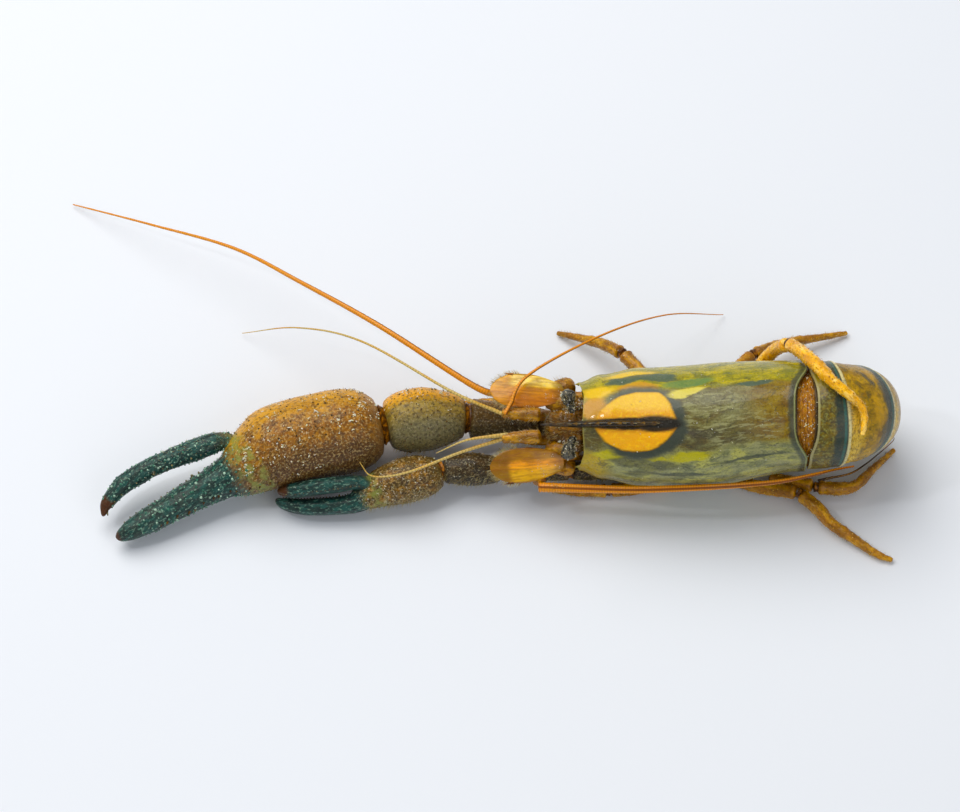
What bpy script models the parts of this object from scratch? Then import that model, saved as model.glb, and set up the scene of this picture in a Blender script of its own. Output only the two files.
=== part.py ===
# A raw river prawn that rests on its curled tail, with both long claws stretched forward.
# Sizes are in millimetres. The origin is the middle of the flat spot under the tail,
# +X runs from the head to the tail, -Y is the prawn's left side, and +Z is up.
from math import cos, pi, radians, sin

import bmesh
import bpy
from mathutils import Matrix, Vector

MM = 0.001
GAP = 0.3

# Driving dimensions of the body.
CARAPACE_LENGTH = 56.5
BODY_WIDTH = 33.2
BODY_RADIUS = 21.0
HEAD_JOINT_X = -9.0
CARAPACE_LEAN = 3.6
TAIL_LEAN = 1.8
NECK_OPENING = 6.2
NECK_SHRINK = 0.93
NECK_CLOSES_AT = 0.42
DISH_DEPTH = 1.6
DISH_SHRINK = 0.5
ABDOMEN_START_X = -2.8
SEGMENT_LENGTHS = (8.9, 16.8, 16.5, 11.0, 9.5, 11.0)
SEGMENT_FLARE = 0.035
SEGMENT_LOBE = 0.13
TAIL_ROOT = Vector((-5.4, 8.4, 1.0))
TAIL_FAN_LENGTH = 18.0
TELSON_HALF_WIDTH = 4.6
TELSON_THICKNESS = 1.7
LEAF_THICKNESS = 1.0

# How far the tail bends over to its right, and how much its rings turn that way, at distances
# along its back.
TAIL_SWAY = ((0, 2.9), (17, 3.4), (30, 4.2), (50, 3.2))
TAIL_TURN = ((0, 0), (9, 0.1), (26, 0.05), (40, 0))

# How the body lies: rolled towards its left side, over the middle of the tail's curl.
BODY_ROLL_DEG = 27.0
BODY_CENTRE = Vector((0.0, -1.6, 17.9))
BODY_TILT = Matrix.Rotation(radians(BODY_ROLL_DEG), 4, "X")

# Everything is laid out round the body, then moved so that this spot becomes the origin.
FLAT_SPOT = Vector((-1.7, 6.6, 0.0))

# Driving sizes of the limbs, and where the floor is.
BIG_PALM_HALF_WIDTH = 12.1
SMALL_PALM_HALF_WIDTH = 6.2
SCALE_HALF_WIDTH = 5.1
SCALE_THICKNESS = 1.2
LEG_RADIUS = 2.0
ANTENNA_RADIUS = 1.1
ANTENNULE_RADIUS = 0.55
WHISKER_RADIUS = 0.35
FLOOR_Z = 0.0

# How finely the round pieces are divided.
CARAPACE_SIDES = 32
CARAPACE_STEPS = 10
SEGMENT_SIDES = 24
PALM_SIDES = 16
CLAW_SIDES = 12
BLADE_SIDES = 10
LEG_SIDES = 8
THREAD_SIDES = 6
SHARP_ANGLE_DEG = 48.0

LEFT, RIGHT = -1, 1
SIDE_NAMES = {LEFT: "left", RIGHT: "right"}

# Base colour and roughness of each finish.
FINISHES = {
    "olive_shell": ((0.20, 0.19, 0.06), 0.25),
    "amber_membrane": ((0.60, 0.25, 0.03), 0.35),
    "amber_scale": ((0.62, 0.30, 0.03), 0.25),
    "orange_leg": ((0.55, 0.22, 0.02), 0.35),
    "claw_shell": ((0.19, 0.13, 0.05), 0.45),
    "teal_finger": ((0.01, 0.07, 0.07), 0.3),
    "black_eye": ((0.01, 0.01, 0.01), 0.1),
}


def clear_scene():
    for obj in list(bpy.data.objects):
        bpy.data.objects.remove(obj)


def material(name):
    made = bpy.data.materials.get(name)
    if made is None:
        colour, roughness = FINISHES[name]
        made = bpy.data.materials.new(name)
        made.use_nodes = True
        shader = made.node_tree.nodes["Principled BSDF"]
        shader.inputs["Base Color"].default_value = (*colour, 1.0)
        shader.inputs["Roughness"].default_value = roughness
        shader.inputs["Metallic"].default_value = 0.0
    return made


def empty(name, location, parent=None):
    frame = bpy.data.objects.new(name, None)
    frame.location = location * MM
    frame.parent = parent
    bpy.context.scene.collection.objects.link(frame)
    return frame


def in_body(x, y, z):
    """Where a point of the body's own frame lies in the layout's frame."""
    return BODY_CENTRE + BODY_TILT @ Vector((x, y, z))


def value_at(knots, t):
    """A smooth curve through (t, value) knots, which has no overshoot between them."""
    if t <= knots[0][0]:
        return knots[0][1]
    for (t0, v0), (t1, v1) in zip(knots, knots[1:]):
        if t <= t1:
            share = (t - t0) / (t1 - t0)
            return v0 + (v1 - v0) * share * share * (3 - 2 * share)
    return knots[-1][1]


def superellipse(angle, power):
    """A point of the curve |y|^power + |z|^power = 1."""
    y, z = cos(angle), sin(angle)
    return (
        abs(y) ** (2 / power) * (1 if y >= 0 else -1),
        abs(z) ** (2 / power) * (1 if z >= 0 else -1),
    )


def ring_angles(sides):
    return [2 * pi * i / sides for i in range(sides)]


# Closed solids, extruded from one ring of points to the next.


def skin(name, rings, finish, parent, on_floor=False):
    """Makes a closed solid through the rings, with its origin in the middle of the first one."""
    origin = sum(rings[0], Vector()) / len(rings[0])
    bm = bmesh.new()
    bmesh.ops.create_circle(bm, cap_ends=True, segments=len(rings[0]), radius=1.0)
    bm.faces.ensure_lookup_table()
    face = bm.faces[0]
    for index, ring in enumerate(rings):
        if index:
            made = bmesh.ops.extrude_face_region(bm, geom=[face, *face.edges, *face.verts])["geom"]
            face = next(g for g in made if isinstance(g, bmesh.types.BMFace))
        for vert, point in zip(face.verts, ring):
            vert.co = (point - origin) * MM
    if on_floor:
        cut_at_floor(bm, origin, parent)
    bmesh.ops.recalc_face_normals(bm, faces=bm.faces)
    bmesh.ops.triangulate(bm, faces=[f for f in bm.faces if len(f.verts) > 4])
    mesh = bpy.data.meshes.new(name)
    bm.to_mesh(mesh)
    bm.free()
    mesh.shade_smooth()
    mesh.set_sharp_from_angle(angle=radians(SHARP_ANGLE_DEG))
    mesh.materials.append(material(finish))
    obj = bpy.data.objects.new(name, mesh)
    obj.parent = parent
    obj.location = origin * MM
    bpy.context.scene.collection.objects.link(obj)
    return obj


def cut_at_floor(bm, origin, parent):
    """Takes off what would reach below the floor, and closes the flat spot that this leaves."""
    to_local = (parent.matrix_world @ Matrix.Translation(origin * MM)).inverted()
    floor = to_local @ Vector((0, 0, FLOOR_Z))
    down = to_local.to_3x3() @ Vector((0, 0, -1))
    bmesh.ops.bisect_plane(
        bm,
        geom=bm.verts[:] + bm.edges[:] + bm.faces[:],
        plane_co=floor,
        plane_no=down,
        clear_outer=True,
        dist=1e-7,
    )
    bmesh.ops.holes_fill(bm, edges=[e for e in bm.edges if e.is_boundary])


def smooth_route(stations, steps):
    """Stations along a Catmull-Rom curve through the given ones, steps to each stretch."""
    points = [Vector(station) for station in stations]
    ends = [2 * points[0] - points[1]] + points + [2 * points[-1] - points[-2]]
    route = []
    for a, b, c, d in zip(ends, ends[1:], ends[2:], ends[3:]):
        for step in range(steps):
            t = step / steps
            square, cube = t * t, t * t * t
            bend = (2 * a - 5 * b + 4 * c - d) * square + (3 * b - a - 3 * c + d) * cube
            route.append(0.5 * (2 * b + (c - a) * t + bend))
    return route + [points[-1]]


def round_end(route):
    """Replaces the route's first station by three that round off that end of the tube."""
    first, second = route[0], route[1]
    share = min(0.55 * first.w / (second - first).xyz.length, 0.6)
    tip, shoulder, full = first.copy(), first.lerp(second, 0.3 * share), first.lerp(second, share)
    tip.w *= 0.55
    shoulder.w *= 0.87
    return [tip, shoulder, full] + route[1:]


def frames_along(route, up):
    """The (middle, side, upward) frame of each station, square to the way the route runs there."""
    frames = []
    for i, station in enumerate(route):
        before = route[max(i - 1, 0)].xyz
        after = route[min(i + 1, len(route) - 1)].xyz
        ahead = (after - before).normalized()
        side = ahead.cross(up).normalized()
        frames.append((station.xyz, side, side.cross(ahead).normalized()))
    return frames


def tube(name, stations, finish, sides, parent, flat=1.0, steps=2, up=(0, 0, 1), power=2.0, on_floor=False):
    """A solid swept along (x, y, z, half width) stations. flat is its height over its width."""
    route = round_end(smooth_route(stations, steps))
    route = round_end(route[::-1])[::-1]
    rings = []
    for (middle, side, upward), station in zip(frames_along(route, Vector(up)), route):
        ring = []
        for angle in ring_angles(sides):
            y, z = superellipse(angle, power)
            ring.append(middle + side * (station.w * y) + upward * (station.w * flat * z))
        rings.append(ring)
    return skin(name, rings, finish, parent, on_floor)


def blade(name, points, half_width, thickness, finish, parent, up=(0, 0, 1)):
    """A thin rounded blade through three points, such as a tail fan's leaf or an antenna's scale."""
    shares = (0.45, 0.92, 0.8)
    stations = [(*point, half_width * share) for point, share in zip(points, shares)]
    flat = 0.5 * thickness / (half_width * shares[1])
    tube(name, stations, finish, BLADE_SIDES, parent, flat=flat, steps=3, up=up, power=2.4)


# The carapace, the crest on it, and what lies behind and below it, in the body's frame.


def body_section(angle, half_width, top, bottom, middle):
    """A point of the body's cross-section as (y, z): round above its middle, boxier below it."""
    above = sin(angle) >= 0
    y, z = superellipse(angle, 2.1 if above else 2.9)
    return half_width * y, middle + z * (top - middle if above else middle - bottom)


def lean_at(angle, lean):
    """How far back a shell's edge lies at this angle: nothing at the top, all of lean at the sides."""
    return lean * value_at(((0, 0), (NECK_CLOSES_AT, 1)), 1 - max(sin(angle), 0.0))


def carapace_ring(t, x_offset=0.0, lean=0.0, shrink=1.0):
    """A ring across the carapace at share t of its length, counted from the eyes."""
    x = HEAD_JOINT_X - CARAPACE_LENGTH * (1 - t) + x_offset
    half_width = BODY_WIDTH / 2 * value_at(((0, 0.71), (0.1, 0.84), (0.28, 0.95), (0.6, 1.0), (1, 0.89)), t)
    top = BODY_RADIUS * value_at(((0, 0.74), (0.15, 0.84), (0.5, 0.97), (0.85, 1.015), (1, 1.0)), t)
    bottom = -BODY_RADIUS * value_at(((0, 0.26), (0.15, 0.405), (0.4, 0.543), (0.8, 0.571), (1, 0.5)), t)
    middle = BODY_RADIUS * value_at(((0, 0.143), (0.4, 0.095), (1, 0.143)), t)
    sway = value_at(((0.5, 0), (1, TAIL_SWAY[0][1])), t)
    ring = []
    for angle in ring_angles(CARAPACE_SIDES):
        y, z = body_section(angle, half_width * shrink, top * shrink, bottom * shrink, middle)
        ring.append(Vector((x + lean_at(angle, lean), y + sway, z)))
    return ring


def carapace(body):
    shares = [step / CARAPACE_STEPS for step in range(CARAPACE_STEPS + 1)]
    rings = [carapace_ring(t, lean=CARAPACE_LEAN * value_at(((0.6, 0), (1, 1)), t)) for t in shares]
    rings.append(carapace_ring(1.0, x_offset=DISH_DEPTH, shrink=DISH_SHRINK))
    shell = skin("carapace", rings, "olive_shell", body)
    union = shell.modifiers.new("crest", "BOOLEAN")
    union.operation = "UNION"
    union.object = crest_guide(body)
    union.solver = "EXACT"


def crest_guide(body):
    """The short crest on the midline, from the front third of the back to past the eyes."""
    stations = [
        (-45.0, 0, 17.4, 1.0),
        (-53.0, 0, 17.0, 1.5),
        (-61.0, 0, 15.8, 1.5),
        (-68.0, 0, 13.8, 1.2),
        (-76.5, 0, 11.9, 0.5),
    ]
    guide = tube("crest_guide", stations, "olive_shell", LEG_SIDES, body, flat=1.9)
    guide.hide_render = True
    guide.display_type = "WIRE"
    return guide


def neck_membrane(body):
    """The soft orange skin that shows in the opened joint between the carapace and the tail."""
    front = carapace_ring(1.0, x_offset=GAP, lean=CARAPACE_LEAN, shrink=NECK_SHRINK)
    back = carapace_ring(1.0, x_offset=NECK_OPENING - GAP, lean=-TAIL_LEAN, shrink=NECK_SHRINK)
    middle = [(a + b) / 2 for a, b in zip(front, back)]
    front_dish = carapace_ring(1.0, x_offset=DISH_DEPTH + 2 * GAP, shrink=DISH_SHRINK)
    back_dish = carapace_ring(1.0, x_offset=NECK_OPENING - GAP - TAIL_LEAN, shrink=DISH_SHRINK)
    skin("neck_membrane", [front_dish, front, middle, back, back_dish], "amber_membrane", body)


def thorax_underside(body):
    """The narrow plate between the legs, below the carapace."""
    stations = [(-45, 0, -13.0, 5.5), (-36, 0, -13.5, 7.5), (-26, 0, -13.4, 6.0)]
    tube("thorax_underside", stations, "olive_shell", BLADE_SIDES, body, flat=0.18, power=2.6)


# The abdomen: its back runs straight for a little way, then round the curl.


def back_line(s):
    """(x, z, angle) of the back at arc length s. The angle turns from 0 on top to pi underneath."""
    bend = s + ABDOMEN_START_X
    if bend < 0:
        return bend, BODY_RADIUS, 0.0
    angle = min(bend / BODY_RADIUS, pi)
    past = max(bend - pi * BODY_RADIUS, 0.0)
    return BODY_RADIUS * sin(angle) - past, BODY_RADIUS * cos(angle), angle


def abdomen_ring(s, share, lean=0.0):
    """A ring across the abdomen at arc length s. share runs from 0 to 1 along its own segment."""
    x, z, angle = back_line(s)
    width_knots = ((0, 0.9), (9, 0.85), (17, 0.8), (26, 0.74), (42, 0.62), (56, 0.52), (73, 0.43))
    depth_knots = ((0, 1.214), (3, 0.919), (42, 0.867), (54, 0.69), (64, 0.59), (73, 0.495))
    half_width = BODY_WIDTH / 2 * value_at(width_knots, s)
    depth = BODY_RADIUS * value_at(depth_knots, s)
    arch = depth * value_at(((0, 0.7), (20, 0.62), (50, 0.5)), s)
    sway = value_at(TAIL_SWAY, s)
    turn = value_at(TAIL_TURN, s)
    flare = 1 - SEGMENT_FLARE * (1 - share)
    lobe = 1 - SEGMENT_LOBE * (2 * share - 1) ** 2
    ring = []
    for around in ring_angles(SEGMENT_SIDES):
        y, down = body_section(around, half_width * flare, 0.0, -depth * lobe, -arch)
        down += 0.7 * BODY_RADIUS * (flare - 1) * max(sin(around), 0.0)
        forward = x + lean_at(around, lean) + down * sin(angle) - turn * y
        ring.append(Vector((forward, y + sway, z + down * cos(angle))))
    return ring


def spread_from_dish(point):
    """Where a point of the first segment's front edge lies once it is drawn into the dish inside it."""
    x, z, _ = back_line(0.0)
    middle = Vector((x - 0.5 * TAIL_LEAN, TAIL_SWAY[0][1], z - 0.5 * BODY_RADIUS))
    drawn = middle.lerp(point, DISH_SHRINK)
    drawn.x = middle.x
    return drawn


def abdomen(body):
    start = 0.0
    for number, length in enumerate(SEGMENT_LENGTHS, 1):
        steps = 5 if length > 11 else 4
        rings = []
        for step in range(steps + 1):
            share = step / steps
            lean = -TAIL_LEAN * (1 - share) if number == 1 else 0.0
            rings.append(abdomen_ring(start + share * (length - GAP), share, lean))
        if number == 1:
            rings.insert(0, [spread_from_dish(point) for point in rings[0]])
        skin(f"abdomen_segment_{number}", rings, "olive_shell", body, on_floor=number >= 4)
        start += length


def tail_fan(layout):
    """The telson and its four leaves, which lie one on another, folded forward under the body."""
    middle = TAIL_ROOT + Vector((-TAIL_FAN_LENGTH / 2, 0, 0))
    tip = TAIL_ROOT + Vector((-TAIL_FAN_LENGTH, 0, 0))
    blade("telson", [TAIL_ROOT, middle, tip], TELSON_HALF_WIDTH, TELSON_THICKNESS, "olive_shell", layout)
    for side, word in SIDE_NAMES.items():
        inner = [
            TAIL_ROOT + Vector((0, 3.8 * side, 1.7)),
            middle + Vector((1, 5.2 * side, 1.7)),
            tip + Vector((0, 6.2 * side, 1.6)),
        ]
        outer = [
            TAIL_ROOT + Vector((0, 5.6 * side, 2.9)),
            middle + Vector((1, 8.4 * side, 2.9)),
            tip + Vector((2, 10.6 * side, 2.8)),
        ]
        blade(f"uropod_inner_{word}", inner, 0.85 * TELSON_HALF_WIDTH, LEAF_THICKNESS, "olive_shell", layout)
        blade(f"uropod_outer_{word}", outer, 0.93 * TELSON_HALF_WIDTH, LEAF_THICKNESS, "olive_shell", layout)


# The head's own pieces, in the body's frame.


def head(body):
    stations = [(-65.9, 0, 3.2, 7.2), (-70, 0, 3.0, 5.4), (-75, 0, 2.2, 3.0)]
    tube("head_core", stations, "olive_shell", BLADE_SIDES, body, flat=0.78, power=2.4)
    for side, word in SIDE_NAMES.items():
        eye(side, word, body)
        antennule_stem(side, word, body)
        antenna_base(side, word, body)
        maxilliped(side, word, body)


def eye(side, word, body):
    """A short stalk that swells into the round black eye, in the notch beside the crest."""
    stations = [
        (-67.4, 3.2 * side, 11.6, 1.0),
        (-68.2, 5.2 * side, 12.0, 1.3),
        (-68.8, 7.6 * side, 12.2, 2.0),
        (-69.0, 9.4 * side, 12.2, 1.3),
    ]
    tube(f"eye_{word}", stations, "black_eye", CLAW_SIDES, body)


def antennule_stem(side, word, body):
    """The jointed stem of a short feeler, beside the midline."""
    stations = [
        (-75.9, 2.9 * side, 7.6, 1.7),
        (-79.0, 3.0 * side, 7.2, 1.9),
        (-82.0, 3.1 * side, 6.9, 1.6),
        (-86.5, 3.4 * side, 6.4, 1.3),
    ]
    tube(f"antennule_stem_{word}", stations, "amber_scale", BLADE_SIDES, body)


def antenna_base(side, word, body):
    """The knob that an antenna grows from, and the broad scale above it."""
    knob = [(-66.6, 10.6 * side, 0.8, 2.2), (-69.5, 10.4 * side, 0.6, 2.8), (-73, 10.0 * side, 0.7, 2.0)]
    tube(f"antenna_knob_{word}", knob, "amber_scale", BLADE_SIDES, body)
    root_y, tip_y = (-9.4, -11.2) if side == LEFT else (8.7, 9.8)
    points = [(-69.8, root_y, 5.0), (-79, 0.5 * (root_y + tip_y), 5.0), (-89.6, tip_y, 4.3)]
    outward = (0, 0.25 * side, 1)
    blade(f"antenna_scale_{word}", points, SCALE_HALF_WIDTH, SCALE_THICKNESS, "amber_scale", body, outward)


def maxilliped(side, word, body):
    """The outer mouth leg, folded forward along the underside of the head."""
    stations = [
        (-62, 3.6 * side, -9.2, 1.1),
        (-71, 3.4 * side, -6.8, 1.5),
        (-79, 3.2 * side, -5.0, 1.3),
        (-86, 3.0 * side, -3.4, 0.5),
    ]
    tube(f"maxilliped_{word}", stations, "orange_leg", LEG_SIDES, body, steps=3)


# The antennae and antennules: thin whips that taper to nothing, in the layout's frame.


def whip(name, points, radius, layout):
    last = len(points) - 1
    stations = [(*point, radius * (1 - 0.8 * i / last)) for i, point in enumerate(points)]
    tube(name, stations, "orange_leg", THREAD_SIDES, layout, steps=3)


def antennae(layout):
    stem_left = [
        (*in_body(-73.6, -9.8, 0.6), 1.5),
        (*in_body(-76.8, -11.2, 0.2), 1.9),
        (-76.6, -16.9, 13.4, 1.2),
    ]
    stem_right = [
        (*in_body(-73.6, 9.6, 0.6), 1.5),
        (*in_body(-79.0, 9.4, 0.2), 1.9),
        (*in_body(-86.0, 9.0, 0.4), 1.2),
    ]
    tube("antenna_stem_left", stem_left, "amber_scale", LEG_SIDES, layout, steps=3)
    tube("antenna_stem_right", stem_right, "amber_scale", LEG_SIDES, layout, steps=3)
    folded_back = [
        (-74.5, -17.9, 13.8),
        (-63.1, -18.7, 14.5),
        (-50.0, -19.8, 16.0),
        (-34.3, -20.3, 18.0),
        in_body(-22.4, -15.9, 7.6),
        in_body(-12.0, -14.9, 7.6),
        in_body(-4.0, -13.3, 8.0),
        in_body(2.0, -11.9, 8.4),
        in_body(7.6, -10.9, 8.2),
    ]
    swept_forward = [
        in_body(-86.7, 8.9, 0.5),
        (-94.0, 7.4, 24.4),
        (-119.3, 25.1, 26.0),
        (-141.2, 41.5, 22.0),
        (-160.0, 56.1, 16.0),
        (-183.4, 68.1, 9.0),
        (-206.4, 80.0, 0.8),
    ]
    whip("antenna_left", folded_back, 1.2 * ANTENNA_RADIUS, layout)
    whip("antenna_right", swept_forward, ANTENNA_RADIUS, layout)


def antennules(layout):
    """The branches of the short feelers. One lies back under the body, and its thin end shows."""
    thin_end = [
        (1.0, -10.9, 5.9),
        (7.6, -9.1, 5.6),
        (11.9, -5.8, 4.7),
        (16.6, -0.9, 3.2),
        (20.1, 3.0, 2.4),
        (20.2, 4.6, 2.2),
    ]
    whip("antennule_left_back", thin_end, WHISKER_RADIUS, layout)
    routes = {
        "antennule_left_long": [
            in_body(-87.2, -3.8, 6.0),
            (-98.0, -10.6, 19.6),
            (-112.0, -15.4, 17.4),
            (-121.0, -16.0, 16.6),
            (-124.5, -12.8, 18.4),
        ],
        "antennule_left_short": [in_body(-87.0, -2.6, 7.0), (-96.0, -8.4, 22.6), (-104.0, -12.0, 22.0)],
        "antennule_right_long": [
            in_body(-87.2, 3.6, 6.6),
            (-100.0, 4.2, 27.0),
            (-124.0, 21.4, 24.0),
            (-142.0, 33.0, 12.0),
            (-158.0, 38.0, 0.7),
        ],
        "antennule_right_back": [
            in_body(-84.6, 4.9, 8.6),
            (-79.5, 7.0, 30.6),
            (-60.5, 20.0, 29.0),
            (-42.0, 34.0, 17.0),
            (-25.0, 44.0, 0.7),
        ],
    }
    for name, points in routes.items():
        whip(name, points, ANTENNULE_RADIUS, layout)


# The two claws, each of five pieces that meet at their joints, in the layout's frame. Each
# station is (x, y, z, share), where share is the piece's half width over the palm's.

BIG_CLAW = {
    "ischium": [(-48.5, 5.2, 6.0, 0.24), (-58, 5.0, 6.4, 0.28), (-68.4, 4.6, 7.2, 0.3)],
    "merus": [(-69.1, 4.6, 7.3, 0.305), (-82, 5.2, 8.9, 0.39), (-95.4, 5.2, 10.6, 0.445)],
    "carpus": [
        (-96.1, 5.2, 10.8, 0.41),
        (-101.0, 5.0, 11.3, 0.595),
        (-107.0, 4.4, 11.6, 0.71),
        (-113.0, 3.4, 11.9, 0.685),
        (-118.0, 2.2, 12.0, 0.51),
    ],
    "palm": [
        (-118.8, 2.4, 12.0, 0.54),
        (-123.5, 1.4, 11.9, 0.85),
        (-130.0, 0.3, 11.9, 0.95),
        (-144.5, -3.2, 11.5, 0.945),
        (-150.8, -6.2, 10.7, 0.86),
        (-156.8, -10.2, 9.4, 0.62),
        (-163.0, -13.2, 8.1, 0.41),
        (-177.6, -21.4, 6.0, 0.305),
        (-185.0, -25.6, 5.1, 0.25),
        (-190.0, -28.2, 4.4, 0.09),
    ],
    "dactylus": [
        (-161.3, -3.2, 13.2, 0.2),
        (-167.0, -5.1, 13.0, 0.25),
        (-177.7, -8.8, 11.4, 0.22),
        (-183.4, -11.5, 10.4, 0.225),
        (-188.6, -14.9, 9.2, 0.21),
        (-192.6, -19.4, 7.4, 0.14),
        (-193.6, -22.6, 6.2, 0.04),
    ],
}
SMALL_CLAW = {
    "ischium": [(-49, -6.6, 3.2, 0.32), (-58, -7.4, 4.0, 0.38), (-67.4, -8.0, 5.6, 0.43)],
    "merus": [(-68.1, -8.1, 5.8, 0.44), (-77, -8.6, 7.0, 0.52), (-85.8, -8.9, 7.6, 0.55)],
    "carpus": [
        (-86.5, -8.9, 7.6, 0.5),
        (-90.5, -9.0, 7.8, 0.66),
        (-96.0, -9.0, 7.9, 0.72),
        (-102.2, -9.2, 7.9, 0.56),
    ],
    "palm": [
        (-102.9, -9.4, 7.8, 0.6),
        (-106.8, -10.8, 7.6, 0.9),
        (-112.0, -12.0, 7.4, 1.0),
        (-118.0, -13.9, 7.0, 0.87),
        (-123.0, -16.2, 6.2, 0.64),
        (-127.6, -18.3, 5.2, 0.42),
        (-138.7, -18.8, 4.6, 0.36),
        (-144.7, -17.8, 4.4, 0.27),
        (-147.4, -16.4, 4.3, 0.1),
    ],
    "dactylus": [
        (-125.4, -14.6, 10.6, 0.3),
        (-130.4, -15.2, 10.6, 0.35),
        (-138.0, -16.1, 10.2, 0.35),
        (-143.4, -16.4, 9.0, 0.3),
        (-146.8, -15.6, 7.6, 0.12),
    ],
}


def claw(word, stations_of, palm_half_width, layout):
    for piece, stations in stations_of.items():
        sized = [(x, y, z, share * palm_half_width) for x, y, z, share in stations]
        finish = "teal_finger" if piece == "dactylus" else "claw_shell"
        sides = PALM_SIDES if piece == "palm" else CLAW_SIDES
        tube(f"claw_{word}_{piece}", sized, finish, sides, layout, on_floor=piece == "palm")


# The slender first legs and the walking legs, in the layout's frame. A walking leg's list is
# its thigh from the hip to the knee, then its shin from the knee to the foot.

SLENDER_LEGS = {
    LEFT: [(-51, -2.6, 3.6, 1.1), (-66, -3.4, 3.2, 1.3), (-84, -4.0, 2.9, 1.2), (-99, -6.0, 2.2, 0.5)],
    RIGHT: [(-52, 13.2, 9.6, 1.1), (-66, 13.0, 9.0, 1.3), (-84, 13.6, 5.6, 1.2), (-101, 14.6, 2.2, 0.5)],
}
WALKING_LEGS = {
    (3, LEFT): (
        [(-42, -9.6, 2.2), (-50, -11.8, 2.4), (-57, -12.5, 2.4)],
        [(-57.9, -12.6, 2.3), (-65, -12.4, 1.8), (-73, -11.6, 0.8)],
    ),
    (4, LEFT): (
        [(-24, -9.4, 2.4), (-16, -12.2, 3.4), (-7.0, -14.6, 5.0)],
        [
            (-5.8, -15.0, 4.7),
            (-1.2, -19.3, 4.2),
            (2.3, -23.2, 3.2),
            (8.8, -27.8, 2.2),
            (14.4, -31.6, 1.4),
            (18.5, -33.2, 0.9),
        ],
    ),
    (5, LEFT): (
        [(-14, -8.6, 2.4), (-8, -10.6, 3.4), (-2.4, -12.4, 4.8)],
        [(-1.3, -12.8, 4.8), (4.8, -13.0, 4.2), (9.4, -11.4, 3.5), (14.4, -5.7, 2.3), (20.4, 1.0, 0.9)],
    ),
    (3, RIGHT): (
        [(-44, 12.6, 9.6), (-48, 19.0, 10.8), (-53, 26.0, 9.4)],
        [(-53.7, 26.8, 9.2), (-60, 32.0, 5.8), (-71, 38.0, 0.8)],
    ),
    (4, RIGHT): (
        [(-30, 13.2, 9.8), (-24, 19.4, 10.4), (-18, 26.0, 8.8)],
        [(-17.3, 26.7, 8.6), (-8, 32.0, 5.4), (9, 38.0, 0.8)],
    ),
}

# How thick a shin is along its length, as a share of the leg's radius.
SHIN_PROFILE = ((0, 0.86), (0.25, 0.94), (0.5, 0.72), (0.8, 0.52), (1, 0.3))

# The last right leg is thrown up over the back of the tail.
RAISED_THIGH = [(-19, 13.2, 9.8), (-16.4, 18.6, 15.4), (-12.6, 19.6, 22.6), (-9.8, 17.0, 29.9)]
RAISED_SHIN = [
    (-9.2, 16.4, 31.0),
    in_body(-5.9, 18.9, 11.8),
    in_body(-2.4, 14.8, 18.4),
    in_body(1.0, 11.0, 21.5),
    in_body(5.1, 7.5, 22.1),
    in_body(8.4, 4.6, 21.3),
    in_body(9.4, 1.2, 20.6),
    in_body(8.8, -3.2, 20.5),
]


def walking_leg(number, side, thigh, shin, layout):
    """A walking leg in two pieces: hip to knee, then the shin that tapers to a point."""
    last = len(shin) - 1
    upper = [(*point, LEG_RADIUS * (0.75 if i == 0 else 0.9)) for i, point in enumerate(thigh)]
    lower = [(*point, LEG_RADIUS * value_at(SHIN_PROFILE, i / last)) for i, point in enumerate(shin)]
    name = f"walking_leg_{number}_{SIDE_NAMES[side]}"
    tube(f"{name}_thigh", upper, "orange_leg", LEG_SIDES, layout)
    tube(f"{name}_shin", lower, "orange_leg", LEG_SIDES, layout)


def legs(layout):
    for side, stations in SLENDER_LEGS.items():
        tube(f"slender_leg_{SIDE_NAMES[side]}", stations, "orange_leg", LEG_SIDES, layout, steps=3)
    for (number, side), (thigh, shin) in WALKING_LEGS.items():
        walking_leg(number, side, thigh, shin, layout)
    walking_leg(5, RIGHT, RAISED_THIGH, RAISED_SHIN, layout)


def main():
    clear_scene()
    layout = empty("layout_frame", -FLAT_SPOT)
    body = empty("body_frame", BODY_CENTRE, layout)
    body.rotation_euler.x = radians(BODY_ROLL_DEG)
    bpy.context.view_layer.update()
    carapace(body)
    neck_membrane(body)
    thorax_underside(body)
    abdomen(body)
    tail_fan(layout)
    head(body)
    antennae(layout)
    antennules(layout)
    claw("right", BIG_CLAW, BIG_PALM_HALF_WIDTH, layout)
    claw("left", SMALL_CLAW, SMALL_PALM_HALF_WIDTH, layout)
    legs(layout)


main()
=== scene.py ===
# %% [markdown]
# # A raw river prawn
# This lesson dresses the plain solids of a river prawn: the patterned shell, the bumpy claws,
# the thin amber scales beside the head, the legs and feelers, and the frost on them.
# Every piece is made in the same way: a closed skin is extruded from ring to ring, small
# parts such as bumps and bristles are set on it, and a material made of nodes paints it.
# Sizes in this file are millimetres until a piece is finished.

# %% Load the solids
import random
from bisect import bisect_right
from math import cos, degrees, exp, pi, radians, sin

import bmesh
import bpy
from mathutils import Matrix, Vector


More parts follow.
